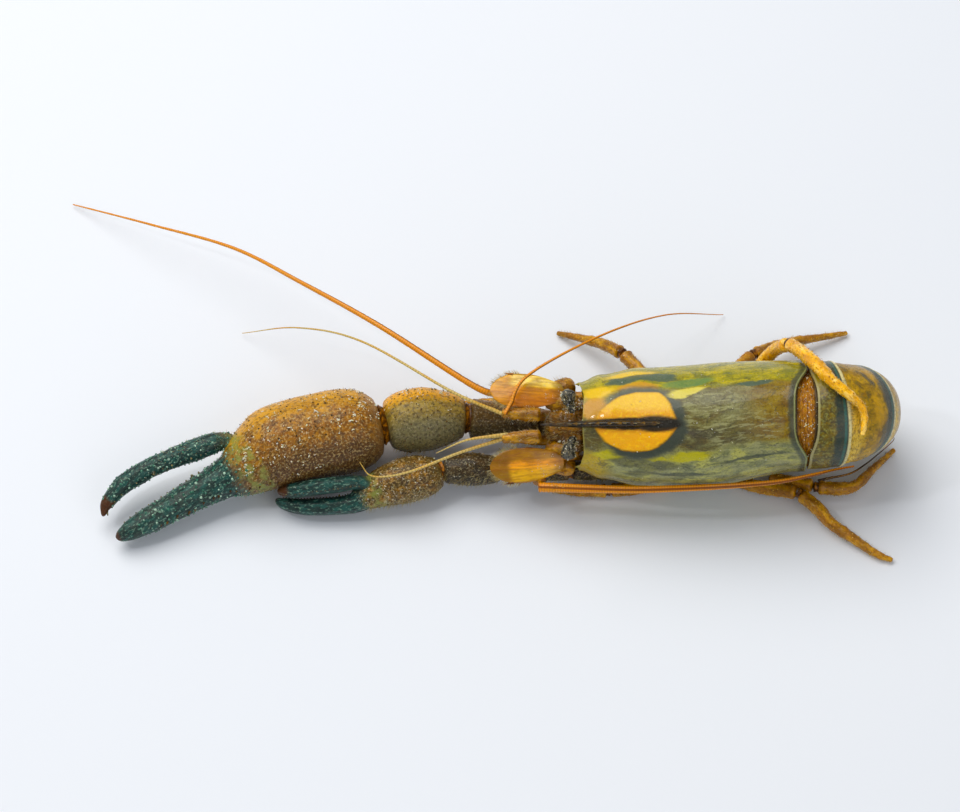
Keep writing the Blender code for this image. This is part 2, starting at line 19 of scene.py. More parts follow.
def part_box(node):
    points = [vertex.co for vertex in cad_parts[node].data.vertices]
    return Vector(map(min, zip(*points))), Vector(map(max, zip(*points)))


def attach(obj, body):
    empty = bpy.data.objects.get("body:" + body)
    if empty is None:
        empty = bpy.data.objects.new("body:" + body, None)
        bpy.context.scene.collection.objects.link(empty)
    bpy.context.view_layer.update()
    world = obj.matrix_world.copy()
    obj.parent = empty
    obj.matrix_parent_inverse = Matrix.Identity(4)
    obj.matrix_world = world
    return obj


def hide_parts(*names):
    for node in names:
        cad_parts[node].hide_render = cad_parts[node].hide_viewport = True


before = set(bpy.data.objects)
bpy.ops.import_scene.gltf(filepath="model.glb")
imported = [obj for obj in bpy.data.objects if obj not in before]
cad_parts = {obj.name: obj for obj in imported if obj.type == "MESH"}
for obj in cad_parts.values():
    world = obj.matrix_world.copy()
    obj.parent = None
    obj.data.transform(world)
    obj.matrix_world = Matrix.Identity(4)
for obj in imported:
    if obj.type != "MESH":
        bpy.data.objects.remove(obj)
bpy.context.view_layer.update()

# %% [markdown]
# ## Where everything lies
# The prawn rests on its curled tail and is rolled to one side. It is easier to model a body
# that lies straight, so the body has a frame of its own: x from head to tail, y to its right
# and z to its back. The limbs are laid out in a second frame that stands level.

# %% Frames and driving sizes
MM = 0.001
LEFT, RIGHT = -1, 1
SIDE_NAMES = {LEFT: "left", RIGHT: "right"}
CARAPACE_LENGTH = 56.5
BODY_WIDTH = 33.2
BODY_RADIUS = 21.0
HEAD_JOINT_X = -9.0
CARAPACE_LEAN = 3.6
TAIL_LEAN = 1.8
NECK_OPENING = 6.2
NECK_CLOSES_AT = 0.42
ABDOMEN_START_X = -2.8
SEGMENT_LENGTHS = (8.9, 16.8, 16.5, 11.0, 9.5, 11.0)
TAIL_SWAY = ((0, 2.9), (17, 3.4), (30, 4.2), (50, 3.2))
TAIL_TURN = ((0, 0), (9, 0.1), (26, 0.05), (40, 0))
TAIL_ROOT = Vector((-5.4, 8.4, 1.0))
TAIL_FAN_LENGTH = 18.0
BODY_ROLL_DEG = 27.0
BODY_CENTRE = Vector((0.0, -1.6, 17.9))
FLAT_SPOT = Vector((-1.7, 6.6, 0.0))

BODY_TILT = Matrix.Rotation(radians(BODY_ROLL_DEG), 4, "X")
LAYOUT = Matrix.Translation(-FLAT_SPOT)
BODY = Matrix.Translation(BODY_CENTRE - FLAT_SPOT) @ BODY_TILT
chance = random.Random(7)


def in_body(x, y, z):
    """Where a point of the body's own frame lies in the layout's frame."""
    return BODY_CENTRE + BODY_TILT @ Vector((x, y, z))


low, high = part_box("carapace")
print("carapace solid:", [round((b - a) / MM, 1) for a, b in zip(low, high)], "mm")

# %% [markdown]
# ## Curves that shape a shell
# A shell's width and height change along the body. A short list of knots says how, and a
# smooth curve between them never swings past a knot. A limb's middle line is a Catmull-Rom
# curve, which passes through every station that is given.

# %% Profile curves


def value_at(knots, t):
    """A smooth curve through (t, value) knots, which has no overshoot between them."""
    if t <= knots[0][0]:
        return knots[0][1]
    for (t0, v0), (t1, v1) in zip(knots, knots[1:]):
        if t <= t1:
            share = (t - t0) / (t1 - t0)
            return v0 + (v1 - v0) * share * share * (3 - 2 * share)
    return knots[-1][1]


def superellipse(angle, power):
    """A point of the curve |y|^power + |z|^power = 1."""
    y, z = cos(angle), sin(angle)
    return (
        abs(y) ** (2 / power) * (1 if y >= 0 else -1),
        abs(z) ** (2 / power) * (1 if z >= 0 else -1),
    )


def ring_angles(sides):
    """Angles round a section that start at the belly, so that the pattern's seam lies there."""
    return [2 * pi * i / sides - pi / 2 for i in range(sides)]


def smooth_route(stations, steps):
    """Stations along a Catmull-Rom curve through the given ones, steps to each stretch."""
    points = [Vector(station) for station in stations]
    ends = [2 * points[0] - points[1]] + points + [2 * points[-1] - points[-2]]
    route = []
    for a, b, c, d in zip(ends, ends[1:], ends[2:], ends[3:]):
        for step in range(steps):
            t = step / steps
            square, cube = t * t, t * t * t
            bend = (2 * a - 5 * b + 4 * c - d) * square + (3 * b - a - 3 * c + d) * cube
            route.append(0.5 * (2 * b + (c - a) * t + bend))
    return route + [points[-1]]


print("a section's corner at 45 degrees:", [round(v, 3) for v in superellipse(pi / 4, 2.9)])

# %% [markdown]
# ## A limb
# Legs, claws, feelers and scales are all swept along a middle line. A small class keeps the
# line, so that a bump or a bristle can be set anywhere on the finished surface later.

# %% Limbs
ROUND_STEPS = 5
TIP_SHARE = 0.14
CLEAR_OF_END = 1.02
THINNEST = 0.05


def distances(route):
    """How far along the route each station lies."""
    along = [0.0]
    for before, station in zip(route, route[1:]):
        along.append(along[-1] + (station - before).xyz.length)
    return along


def round_end(route, reach):
    """Rounds off the route's first end like a quarter of an ellipse that is reach mm long."""
    along = distances(route)
    rounded = []
    for step in range(ROUND_STEPS + 1):
        turn = pi / 2 * step / ROUND_STEPS
        at = reach * (1 - cos(turn))
        i = min(bisect_right(along, at) - 1, len(route) - 2)
        station = route[i].lerp(route[i + 1], (at - along[i]) / (along[i + 1] - along[i]))
        station.w *= max(sin(turn), TIP_SHARE)
        rounded.append(station)
    return rounded + [station for station, at in zip(route, along) if at > reach * CLEAR_OF_END]


class Limb:
    """A limb's skin, swept along (x, y, z, half width) stations. flat is its height over its width."""

    def __init__(self, stations, flat=1.0, power=2.0, steps=8, up=(0, 0, 1), root_end=0.6, tip_end=0.6):
        route = smooth_route(stations, steps)
        self.root = route[0].copy()
        route = round_end(route, root_end * route[0].w)
        self.route = round_end(route[::-1], tip_end * route[-1].w)[::-1]
        self.flat = flat
        self.power = power
        self.up = up
        self.along = distances(self.route)
        self.frames = []
        for i in range(len(self.route)):
            before = self.route[max(i - 1, 0)].xyz
            after = self.route[min(i + 1, len(self.route) - 1)].xyz
            ahead = (after - before).normalized()
            side = ahead.cross(Vector(up)).normalized()
            self.frames.append((side, side.cross(ahead).normalized(), ahead))
        self.length = self.along[-1]

    def section(self, i, angle, grow=0.0):
        """A point of the skin at station i."""
        station = self.route[i]
        side, upward, _ = self.frames[i]
        y, z = superellipse(angle, self.power)
        wide = max(station.w + grow, THINNEST)
        return station.xyz + side * (wide * y) + upward * (wide * self.flat * z)

    def spot(self, at, angle):
        """A point of the skin at a distance along the limb, the way out there and the way ahead."""
        i = min(max(bisect_right(self.along, at) - 1, 0), len(self.along) - 2)
        share = (at - self.along[i]) / max(self.along[i + 1] - self.along[i], 1e-9)
        place = self.section(i, angle).lerp(self.section(i + 1, angle), min(max(share, 0.0), 1.0))
        side, upward, ahead = self.frames[i]
        out = (side * (cos(angle) * self.flat) + upward * sin(angle)).normalized()
        return place, out, ahead

    def half_width(self, at):
        i = min(bisect_right(self.along, at), len(self.along) - 1)
        return self.route[i].w

    def rings(self, sides, relief=None):
        """Rings of points along the limb. relief(along, angle) moves a point outwards."""
        angles = ring_angles(sides)
        return [
            [self.section(i, angle, relief(at, angle) if relief else 0.0) for angle in angles]
            for i, at in enumerate(self.along)
        ]


print("a limb's end is rounded in", ROUND_STEPS, "steps")

# %% [markdown]
# ## Extruding a skin
# The skin starts as one flat disc. The disc is extruded again and again, and each time its
# corners are moved to the next ring, which leaves a wall of quads behind it. Every face also
# gets a place on a UV map in real millimetres: how far along the body, and how far round it
# from the middle of the back. Patterns painted on that map neither stretch nor slide.

# %% Skins
UV_NAME = "shell_mm"
UV_UNIT = 0.01
SHARP_ANGLE_DEG = 55.0
BATCH = 100
HINGE_SIDES = 24
HINGE_FOLD = 0.05
# A spike's middle is this share of its height above the skin, so its foot is sunk in.
SPIKE_STAND = 0.38
# A face's finish is its place in its piece's list of looks. The names say what most pieces
# have at that place.
SHELL, SPINE, HAIR, ICE, HINGE, GRAIN, TOOTH_EDGE = range(7)
small_parts = []
tally = {}


def girths(ring):
    """Distance round a ring from the middle of the back to each of its points, plus to the right."""
    total = [0.0]
    for a, b in zip(ring, ring[1:] + ring[:1]):
        total.append(total[-1] + (b - a).length)
    return [total[-1] / 2 - value for value in total]


def lay_skin(bm, rings, along, finish=SHELL):
    """Extrudes a disc through the rings of points. along gives each ring's place on the UV map."""
    sides = len(rings[0])
    disc = bmesh.ops.create_circle(bm, cap_ends=True, segments=sides, radius=1.0)
    face = disc["verts"][0].link_faces[0]
    place = {}
    for i, ring in enumerate(rings):
        if i:
            made = bmesh.ops.extrude_face_region(bm, geom=[face, *face.edges, *face.verts])["geom"]
            face = next(g for g in made if isinstance(g, bmesh.types.BMFace))
        for j, (vert, point) in enumerate(zip(face.verts, ring)):
            vert.co = point
            place[vert] = (i, j)
    uv = bm.loops.layers.uv.get(UV_NAME) or bm.loops.layers.uv.new(UV_NAME)
    from_back = [girths(ring) for ring in rings]
    faces = {face for vert in place for face in vert.link_faces}
    for face in faces:
        face.material_index = finish
        corners = [place[vert][1] for vert in face.verts]
        at_seam = len(corners) == 4 and max(corners) - min(corners) > sides / 2
        for loop in face.loops:
            i, j = place[loop.vert]
            if at_seam and j < sides / 2:
                j += sides
            loop[uv].uv = (along[i] * UV_UNIT, from_back[i][j] * UV_UNIT)
    bmesh.ops.recalc_face_normals(bm, faces=list(faces))


def lay_limb(bm, limb, sides, finish=SHELL, relief=None):
    lay_skin(bm, limb.rings(sides, relief), limb.along, finish)


def skin_of(limb, sides, relief=None):
    """A new mesh with a limb's skin."""
    bm = bmesh.new()
    lay_limb(bm, limb, sides, SHELL, relief)
    return bm


def pointing(place, direction):
    """A matrix that stands something modelled along +Z at a place, pointing in a direction."""
    return Matrix.Translation(place) @ direction.to_track_quat("Z", "Y").to_matrix().to_4x4()


def paint_faces(verts, finish):
    for face in {face for vert in verts for face in vert.link_faces}:
        face.material_index = finish


def set_spike(place, direction, radius, height, finish, sides=5, tip=0.0):
    """A small cone that stands on a skin: a bump, a tooth, a spine or a bristle."""
    stand = pointing(place + direction * (SPIKE_STAND * height), direction)
    shape = {"cap_ends": True, "segments": sides, "radius1": radius, "radius2": tip, "depth": height}
    small_parts.append((bmesh.ops.create_cone, shape, stand, finish))


def set_grain(place, radius, finish):
    """One crumb of frost, drawn out and turned in its own way."""
    shape = (chance.uniform(0.9, 1.9), chance.uniform(0.35, 0.8), chance.uniform(0.35, 0.8), 1)
    turn = Matrix.Rotation(chance.uniform(0, 2 * pi), 4, (chance.random(), chance.random(), 1))
    stand = Matrix.Translation(place) @ turn @ Matrix.Diagonal(shape)
    small_parts.append((bmesh.ops.create_icosphere, {"subdivisions": 1, "radius": radius}, stand, finish))


def lay_small_parts(bm):
    """Makes the bumps, bristles and crumbs that wait, a batch at a time, which is quicker."""
    for start in range(0, len(small_parts), BATCH):
        bits = bmesh.new()
        for make, shape, stand, finish in small_parts[start : start + BATCH]:
            paint_faces(make(bits, matrix=stand, **shape)["verts"], finish)
        mesh = bpy.data.meshes.new("bits")
        bits.to_mesh(mesh)
        bits.free()
        bm.from_mesh(mesh)
        bpy.data.meshes.remove(mesh)
    small_parts.clear()


def lay_hinge(bm, limb, reach, finish, share=0.8):
    """The soft folded skin in a limb's first joint, which joins it to the piece before it."""
    ahead = limb.frames[ROUND_STEPS][2]
    ends = [(*(limb.root.xyz + ahead * shift), share * limb.root.w) for shift in (-reach, 0.0, reach)]
    plug = Limb(ends, limb.flat, limb.power, 5, limb.up, 0.2, 0.2)
    fold = HINGE_FOLD * limb.root.w
    lay_limb(bm, plug, HINGE_SIDES, finish, lambda at, angle: fold * sin(5 * at))


def finish_piece(bm, name, place, looks, replaced=()):
    """Puts a piece in its place in metres, gives it its looks, and lets it ride on the prawn."""
    lay_small_parts(bm)
    bmesh.ops.transform(bm, matrix=Matrix.Scale(MM, 4) @ place, verts=bm.verts)
    for vert in bm.verts:
        vert.co.z = max(vert.co.z, 0.0)
    mesh = bpy.data.meshes.new(name)
    bm.to_mesh(mesh)
    bm.free()
    mesh.shade_smooth()
    mesh.set_sharp_from_angle(angle=radians(SHARP_ANGLE_DEG))
    for look in looks:
        mesh.materials.append(look)
    piece = bpy.data.objects.new(name, mesh)
    bpy.context.scene.collection.objects.link(piece)
    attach(piece, "root")
    if replaced:
        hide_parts(*replaced)
    tally[name] = sum(len(face.vertices) - 2 for face in mesh.polygons)


print("sharp edges start at", SHARP_ANGLE_DEG, "degrees")

# %% [markdown]
# ## Camera, light and floor
# The photograph looks down at about 60 degrees through a long lens, which is a camera far away
# with a narrow view. Soft studio light comes from two large lamps and a pale sky, so the wet
# shell gets broad, soft highlights. A small third lamp adds glints.

# %% Camera, light and floor
CAMERA_ELEVATION_DEG = 60.0
CAMERA_DISTANCE = 1.3
CAMERA_LENS = 180.0
CAMERA_CLIP_START = 0.05
PICTURE_CENTRE = Vector((-0.0906, 0.0017, 0.012))
FLOOR_HALF_SIZE = 6.0
FLOOR_DROP = 0.0002


def linear(code):
    """An sRGB hex colour as the linear values that a shader reads."""
    channels = [int(code[i : i + 2], 16) / 255 for i in (1, 3, 5)]
    return (*(c / 12.92 if c <= 0.04045 else ((c + 0.055) / 1.055) ** 2.4 for c in channels), 1.0)


def add(tree, kind, inputs, **settings):
    """Adds a node with its settings, and gives each named input a value or a link."""
    node = tree.nodes.new("ShaderNode" + kind)
    for name, value in settings.items():
        setattr(node, name, value)
    for socket, value in inputs.items():
        if isinstance(value, bpy.types.NodeSocket):
            tree.links.new(value, node.inputs[socket])
        else:
            node.inputs[socket].default_value = value
    return node


def set_camera():
    elevation = radians(CAMERA_ELEVATION_DEG)
    back = Vector((0, -cos(elevation), sin(elevation)))
    camera = bpy.data.objects.new("camera", bpy.data.cameras.new("camera"))
    camera.data.lens = CAMERA_LENS
    camera.data.clip_start = CAMERA_CLIP_START
    camera.location = PICTURE_CENTRE + back * CAMERA_DISTANCE
    camera.rotation_euler = (-back).to_track_quat("-Z", "Y").to_euler()
    bpy.context.scene.collection.objects.link(camera)
    bpy.context.scene.camera = camera


def set_lamp(name, place, size, watts, tint):
    """A square softbox that faces the prawn."""
    lamp = bpy.data.objects.new(name, bpy.data.lights.new(name, "AREA"))
    lamp.data.shape = "SQUARE"
    lamp.data.size = size
    lamp.data.energy = watts
    lamp.data.color = linear(tint)[:3]
    lamp.location = place
    lamp.rotation_euler = (PICTURE_CENTRE - Vector(place)).to_track_quat("-Z", "Y").to_euler()
    bpy.context.scene.collection.objects.link(lamp)


def set_sky(tint, strength):
    world = bpy.data.worlds.new("sky")
    world.use_nodes = True
    world.node_tree.nodes["Background"].inputs["Color"].default_value = linear(tint)
    world.node_tree.nodes["Background"].inputs["Strength"].default_value = strength
    bpy.context.scene.world = world


def set_tones():
    """Shows each colour as it is painted, without a film look."""
    bpy.context.scene.view_settings.view_transform = "Standard"
    bpy.context.scene.view_settings.look = "None"


def set_floor():
    """A matt white board, a hair under the prawn, with a faint grain in its paint."""
    bm = bmesh.new()
    bmesh.ops.create_grid(bm, x_segments=8, y_segments=8, size=FLOOR_HALF_SIZE)
    mesh = bpy.data.meshes.new("floor")
    bm.to_mesh(mesh)
    bm.free()
    look = bpy.data.materials.new("floor_paint")
    look.use_nodes = True
    shader = look.node_tree.nodes["Principled BSDF"]
    grain = add(look.node_tree, "TexNoise", {"Scale": 40.0, "Detail": 3.0})
    inputs = {0: grain.outputs["Fac"], 6: linear("#E4EAF4"), 7: linear("#E9EEF6")}
    tint = add(look.node_tree, "Mix", inputs, data_type="RGBA")
    look.node_tree.links.new(tint.outputs[2], shader.inputs["Base Color"])
    shader.inputs["Roughness"].default_value = 0.7
    mesh.materials.append(look)
    floor = bpy.data.objects.new("floor", mesh)
    floor.location.z = -FLOOR_DROP
    bpy.context.scene.collection.objects.link(floor)


set_camera()
set_lamp("key", (-0.45, 0.45, 1.0), 1.0, 11.2, "#FFFBF4")
set_lamp("fill", (0.5, -0.9, 0.8), 1.0, 3.4, "#FFFFFF")
set_lamp("glint", (-0.75, -0.1, 1.0), 0.09, 1.4, "#FFFFFF")
set_sky("#F4F5F7", 0.36)
set_floor()
set_tones()
print("camera looks down at", CAMERA_ELEVATION_DEG, "degrees")

# %% [markdown]
# ## Painting with nodes
# A prawn's shell is clear, and the colour lies under it in clouds, bands and blots with soft
# marbled edges. Each material is painted in layers like a water colour: a ground colour, then
# tints through masks. A mask is a cloud of noise, a band, or a few blots, which are ellipses
# given in millimetres. Most of them are pushed about by the same noise, so their edges marble.

# %% Paint
# The pale studio's reflection on a wet shell washes its colours out, so they are painted deeper.
DEPTH, LIFT = 1.2, 1.15
NOISE = {"Scale": 1.0, "Detail": 4.0, "Roughness": 0.6}
SMOOTH = {"interpolation_type": "SMOOTHSTEP"}
# The noise keeps near 0.5: cut at the bare edge it covers next to nothing, and at the full
# edge nearly all.
BARE_EDGE = 0.62
FULL_EDGE = 0.38


class Paint:
    """Paints one material in layers, from the ground colour up, with places in millimetres."""

    def __init__(self, name, ground, on_map=True, reach=0.8, swirl=5.0, stretch=2.2):
        self.look = bpy.data.materials.new(name)
        self.look.use_nodes = True
        self.tree = self.look.node_tree
        self.shader = self.tree.nodes["Principled BSDF"]
        self.colour = linear(ground)
        self.normal = None
        solid = add(self.tree, "TexCoord", {}).outputs["Object"]
        self.solid = add(self.tree, "Mapping", {"Vector": solid, "Scale": (1 / MM,) * 3}).outputs[0]
        self.place = self.solid
        if on_map:
            flat = add(self.tree, "UVMap", {}, uv_map=UV_NAME).outputs[0]
            self.place = add(self.tree, "Mapping", {"Vector": flat, "Scale": (1 / UV_UNIT,) * 3}).outputs[0]
        self.marbled = self.pushed(reach, swirl, stretch)

    def pushed(self, reach, swirl, stretch):
        """The place, pushed about by up to reach mm in swirls of that size, long ones along the body."""
        shape = (1 / (swirl * stretch), 1 / swirl, 1 / swirl)
        drawn_out = add(self.tree, "Mapping", {"Vector": self.place, "Scale": shape}).outputs[0]
        noise = add(self.tree, "TexNoise", {"Vector": drawn_out, **NOISE}).outputs["Color"]
        centred = add(self.tree, "VectorMath", {0: noise, 1: (0.5,) * 3}, operation="SUBTRACT").outputs[0]
        push = add(self.tree, "VectorMath", {0: centred, "Scale": 4 * reach}, operation="SCALE").outputs[0]
        return add(self.tree, "VectorMath", {0: self.place, 1: push}, operation="ADD").outputs[0]

    def clouds(self, size, cover, soft=0.12, stretch=1.0, seed=0.0, place=None):
        """A mask of noise clouds of that size, which cover about that share of the surface."""
        shape = (1 / (size * stretch), 1 / size, 1 / size)
        inputs = {"Vector": place or self.solid, "Scale": shape, "Location": (seed, 0.7 * seed, 0)}
        where = add(self.tree, "Mapping", inputs).outputs[0]
        noise = add(self.tree, "TexNoise", {"Vector": where, **NOISE}).outputs["Fac"]
        edge = BARE_EDGE - (BARE_EDGE - FULL_EDGE) * cover
        limits = {0: noise, 1: edge - soft / 2, 2: edge + soft / 2}
        return add(self.tree, "MapRange", limits, **SMOOTH).outputs[0]

    def veins(self, size, width, stretch=1.0, seed=0.0, place=None):
        """A mask of thin curly lines, which follow the edges of noise clouds of that size."""
        shape = (1 / (size * stretch), 1 / size, 1 / size)
        inputs = {"Vector": place or self.marbled, "Scale": shape, "Location": (seed, seed, 0)}
        where = add(self.tree, "Mapping", inputs).outputs[0]
        noise = add(self.tree, "TexNoise", {"Vector": where, "Scale": 1.0, "Detail": 3.0, "Roughness": 0.5})
        off = add(self.tree, "Math", {0: noise.outputs["Fac"], 1: 0.5}, operation="SUBTRACT").outputs[0]
        away = add(self.tree, "Math", {0: off}, operation="ABSOLUTE").outputs[0]
        return add(self.tree, "MapRange", {0: away, 1: width, 2: 0.0}, **SMOOTH).outputs[0]

    def blots(self, blots, soft=0.3, place=None):
        """A mask of ellipses (x, round, half length, half width, turn in degrees) with soft edges."""
        whole = None
        for x, y, half_length, half_width, turn in blots:
            inputs = {"Vector": place or self.marbled, "Location": (x, y, 0)}
            inputs["Rotation"] = (0, 0, radians(turn))
            inputs["Scale"] = (half_length, half_width, 1e4)
            inside = add(self.tree, "Mapping", inputs, vector_type="TEXTURE").outputs[0]
            gradient = add(self.tree, "TexGradient", {"Vector": inside}, gradient_type="SPHERICAL")
            ball = gradient.outputs["Fac"]
            if whole is None:
                whole = ball
            else:
                whole = add(self.tree, "Math", {0: whole, 1: ball}, operation="MAXIMUM").outputs[0]
        return add(self.tree, "MapRange", {0: whole, 1: 0.0, 2: soft}, **SMOOTH).outputs[0]

    def ramp(self, axis, start, end, place=None):
        """A mask that climbs from 0 to 1 between two places along an axis of the map or the solid."""
        parts = add(self.tree, "SeparateXYZ", {0: place or self.marbled})
        value = parts.outputs["XYZ".index(axis)]
        return add(self.tree, "MapRange", {0: value, 1: start, 2: end}, **SMOOTH).outputs[0]

    def band(self, axis, start, end, soft, place=None):
        """A mask that is 1 between two places along an axis."""
        rise = self.ramp(axis, start - soft, start, place)
        fall = self.ramp(axis, end + soft, end, place)
        return self.both(rise, fall)

    def both(self, *masks):
        """A mask that is 1 only where all of these are."""
        whole = masks[0]
        for mask in masks[1:]:
            whole = add(self.tree, "Math", {0: whole, 1: mask}, operation="MULTIPLY").outputs[0]
        return whole

    def lay(self, tint, mask, strength=1.0, within=None):
        """Lays a tint over what is painted so far, where the mask is 1 and within's mask too."""
        if within is not None:
            mask = self.both(within, mask)
        amount = add(self.tree, "Math", {0: mask, 1: strength}, operation="MULTIPLY").outputs[0]
        inputs = {0: amount, 6: self.colour, 7: linear(tint)}
        self.colour = add(self.tree, "Mix", inputs, data_type="RGBA").outputs[2]

    def emboss(self, height, depth, strength=1.0):
        """Adds a relief of that depth in mm, from a mask that says how high each place is."""
        inputs = {"Height": height, "Distance": depth * MM, "Strength": strength}
        if self.normal:
            inputs["Normal"] = self.normal
        self.normal = add(self.tree, "Bump", inputs).outputs[0]

    def done(self, rough, wet=0.0, glow=0.0, glow_reach=1.0):
        """Ends the painting. rough is the shell's own roughness, wet its clear coat, glow its flesh."""
        sockets = self.shader.inputs
        deep = add(self.tree, "HueSaturation", {"Color": self.colour, "Saturation": DEPTH, "Value": LIFT})
        self.tree.links.new(deep.outputs[0], sockets["Base Color"])
        if self.normal:
            self.tree.links.new(self.normal, sockets["Normal"])
        dull = self.clouds(2.2, 0.5, soft=0.4, seed=9.0)
        spread = add(self.tree, "MapRange", {0: dull, 3: 0.75 * rough, 4: 1.3 * rough}).outputs[0]
        self.tree.links.new(spread, sockets["Roughness"])
        sockets["IOR"].default_value = 1.5
        sockets["Specular IOR Level"].default_value = 0.25
        sockets["Coat Weight"].default_value = 0.5 * wet
        sockets["Coat Roughness"].default_value = 0.08
        sockets["Subsurface Weight"].default_value = glow
        sockets["Subsurface Radius"].default_value = (1.0, 0.5, 0.2)
        sockets["Subsurface Scale"].default_value = glow_reach * MM
        return self.look


print("patterns are given in millimetres, of which the map has", 1 / UV_UNIT, "to a unit")

# %% [markdown]
# ## Small finishes
# Bristles, bumps, teeth, frost and the eye are too small for a pattern of their own, but
# none is one flat colour: each has lighter and darker clouds at its own scale.

# %% Small finishes
FINE_PORES = 0.5


def small_finish(name, ground, light, dark, size, rough, wet=0.0, glow=0.0):
    """A finish with lighter and darker clouds of that size in millimetres."""
    paint = Paint(name, ground, on_map=False)
    paint.lay(light, paint.clouds(size, 0.4, seed=1.0))
    paint.lay(dark, paint.clouds(0.6 * size, 0.3, seed=5.0), 0.7)
    paint.emboss(paint.clouds(0.5 * size, 0.5, soft=FINE_PORES, seed=3.0), 0.04)
    return paint.done(rough, wet, glow)


# Grown chitin, drawn out thin: pale, nearly clear hairs.
BRISTLE = small_finish("bristle_chitin", "#A8966A", "#D2C69C", "#6E5A34", 1.5, 0.4, glow=0.2)
# Ice that froze out of the air: off-white crumbs that let light in.
FROST = small_finish("frost_ice", "#DCD0B4", "#F2ECDC", "#B0A284", 0.8, 0.3, wet=0.3, glow=0.4)
# Thick, dark chitin: the claws' bumps and spines, and the teeth of the crest.
BUMP = small_finish("dark_bump_chitin", "#463320", "#6E552E", "#241A12", 1.2, 0.35, wet=0.4)
# The fingers' granules are blue-green, with pale clouds: partly their own pale specks, partly painted
# highlight.
GRANULE = small_finish("finger_granule_chitin", "#44705F", "#AFC8B6", "#152E2A", 1.6, 0.25, wet=0.6)
# A biting edge's tooth is as dark as its finger, with a worn head.
TOOTH = small_finish("tooth_chitin", "#3A3A2A", "#8A8058", "#1A1C16", 1.0, 0.3, wet=0.4)
# The two spines of the shell's front edge are thick, yellowish horn.
RIM = small_finish("rim_chitin", "#97893E", "#C0B264", "#55502A", 1.2, 0.3, wet=0.4)
# Soft skin without lime, folded in a joint: wet and dark brown, orange where it is thin.
JOINT_SKIN = small_finish("joint_skin", "#4E3018", "#A06A30", "#1E130B", 1.4, 0.4, wet=0.3, glow=0.05)
# A leg's granules are pale orange: painted glints on the bumps.
LEG_GRAIN = small_finish("leg_granule_chitin", "#C48E3A", "#EACB7C", "#7A4A18", 0.8, 0.3, wet=0.4)
# The cornea is smooth and wet over a black pigment.
EYE = small_finish("eye_cornea", "#23221C", "#55534A", "#0A0A08", 1.1, 0.4, wet=0.3)
made = (BRISTLE, FROST, BUMP, GRANULE, TOOTH, RIM, JOINT_SKIN, LEG_GRAIN, EYE)
print("small finishes:", [look.name for look in made])

# %% [markdown]
# ## The carapace's pattern
# On the real back two golden patches lie beside a dark midline, each in a slate outline.
# Behind them the shell is a grey olive brown with mottles and thin pale streaks, which are
# painted highlights. The far flank is yellow green and the near flank has charcoal blotches.
# Each blot below is an ellipse: where it lies along the body and round the back, its half
# sizes and its turn.

# %% Carapace pattern
GOLD_FAR = ((-48.0, -3.0, 15.0, 12.4, 0),)
GOLD_FAR_END = ((-56.0, -4.0, 16.8, 18.0, 0),)
GOLD_NEAR = ((-50.5, 2.5, 12.6, 10.5, 0),)
GOLD_NEAR_END = ((-55.0, 5.0, 16.6, 14.5, 0),)
OUTLINE_FAR = ((-49.0, 0.4, 12.4, 11.6, 0), (-43.0, 2.5, 5.6, 6.4, 0))
OUTLINE_NEAR = ((-49.8, -0.4, 13.2, 9.9, 0), (-43.0, -2.5, 6.0, 5.0, 0))
MIDLINE = ((-45.6, 0.0, 8.0, 2.7, 0), (-53.0, 0.0, 13.5, 2.0, 0))
SLATE_BAND = ((-53.5, 14.0, 7.5, 2.2, 10), (-46.0, 14.8, 7.0, 2.4, -4), (-20.0, 9.5, 5.0, 1.3, 0))
TEAL_BAND = ((-37.0, 12.4, 9.0, 2.0, 8),)
YELLOW_FRONT = ((-61.0, 9.5, 7.0, 3.4, 14), (-52.0, 16.6, 9.0, 3.0, 6))
BEIGE = ((-62.5, 4.2, 5.0, 4.2, 0), (-51.0, 10.8, 6.5, 2.0, 4))
# A pale streak high on the far side is a painted highlight of the wet shell.
HIGHLIGHT_STREAK = ((-37.5, 9.0, 7.0, 1.5, 6),)
PALE_REAR = ((-24.0, 2.0, 8.0, 6.0, 0), (-33.0, 6.0, 9.0, 3.0, 0))
DARK_REAR = ((-33.0, -2.4, 9.0, 2.2, 0), (-20.0, -4.5, 7.0, 1.6, -5))
NEAR_MOTTLES = ((-52.5, -10.6, 8.0, 2.2, -4), (-44.0, -12.2, 7.0, 2.6, 0), (-49.0, -15.0, 6.0, 1.8, 0))
NEAR_RIBBONS = ((-37.0, -9.0, 8.0, 1.7, 4), (-58.5, -8.6, 6.0, 1.8, 0), (-46.0, -9.6, 5.0, 1.2, -6))
LOWER_LINE = ((-22.0, -12.4, 11.0, 0.9, 0), (-38.0, -16.0, 12.0, 1.0, 0))


def lay_blots(paint, flow, layers, within=None):
    """Lays blots, each layer with its tint, its ellipses, their softness and its strength."""
    for tint, blots, soft, strength in layers:
        paint.lay(tint, paint.blots(blots, soft, flow), strength, within)


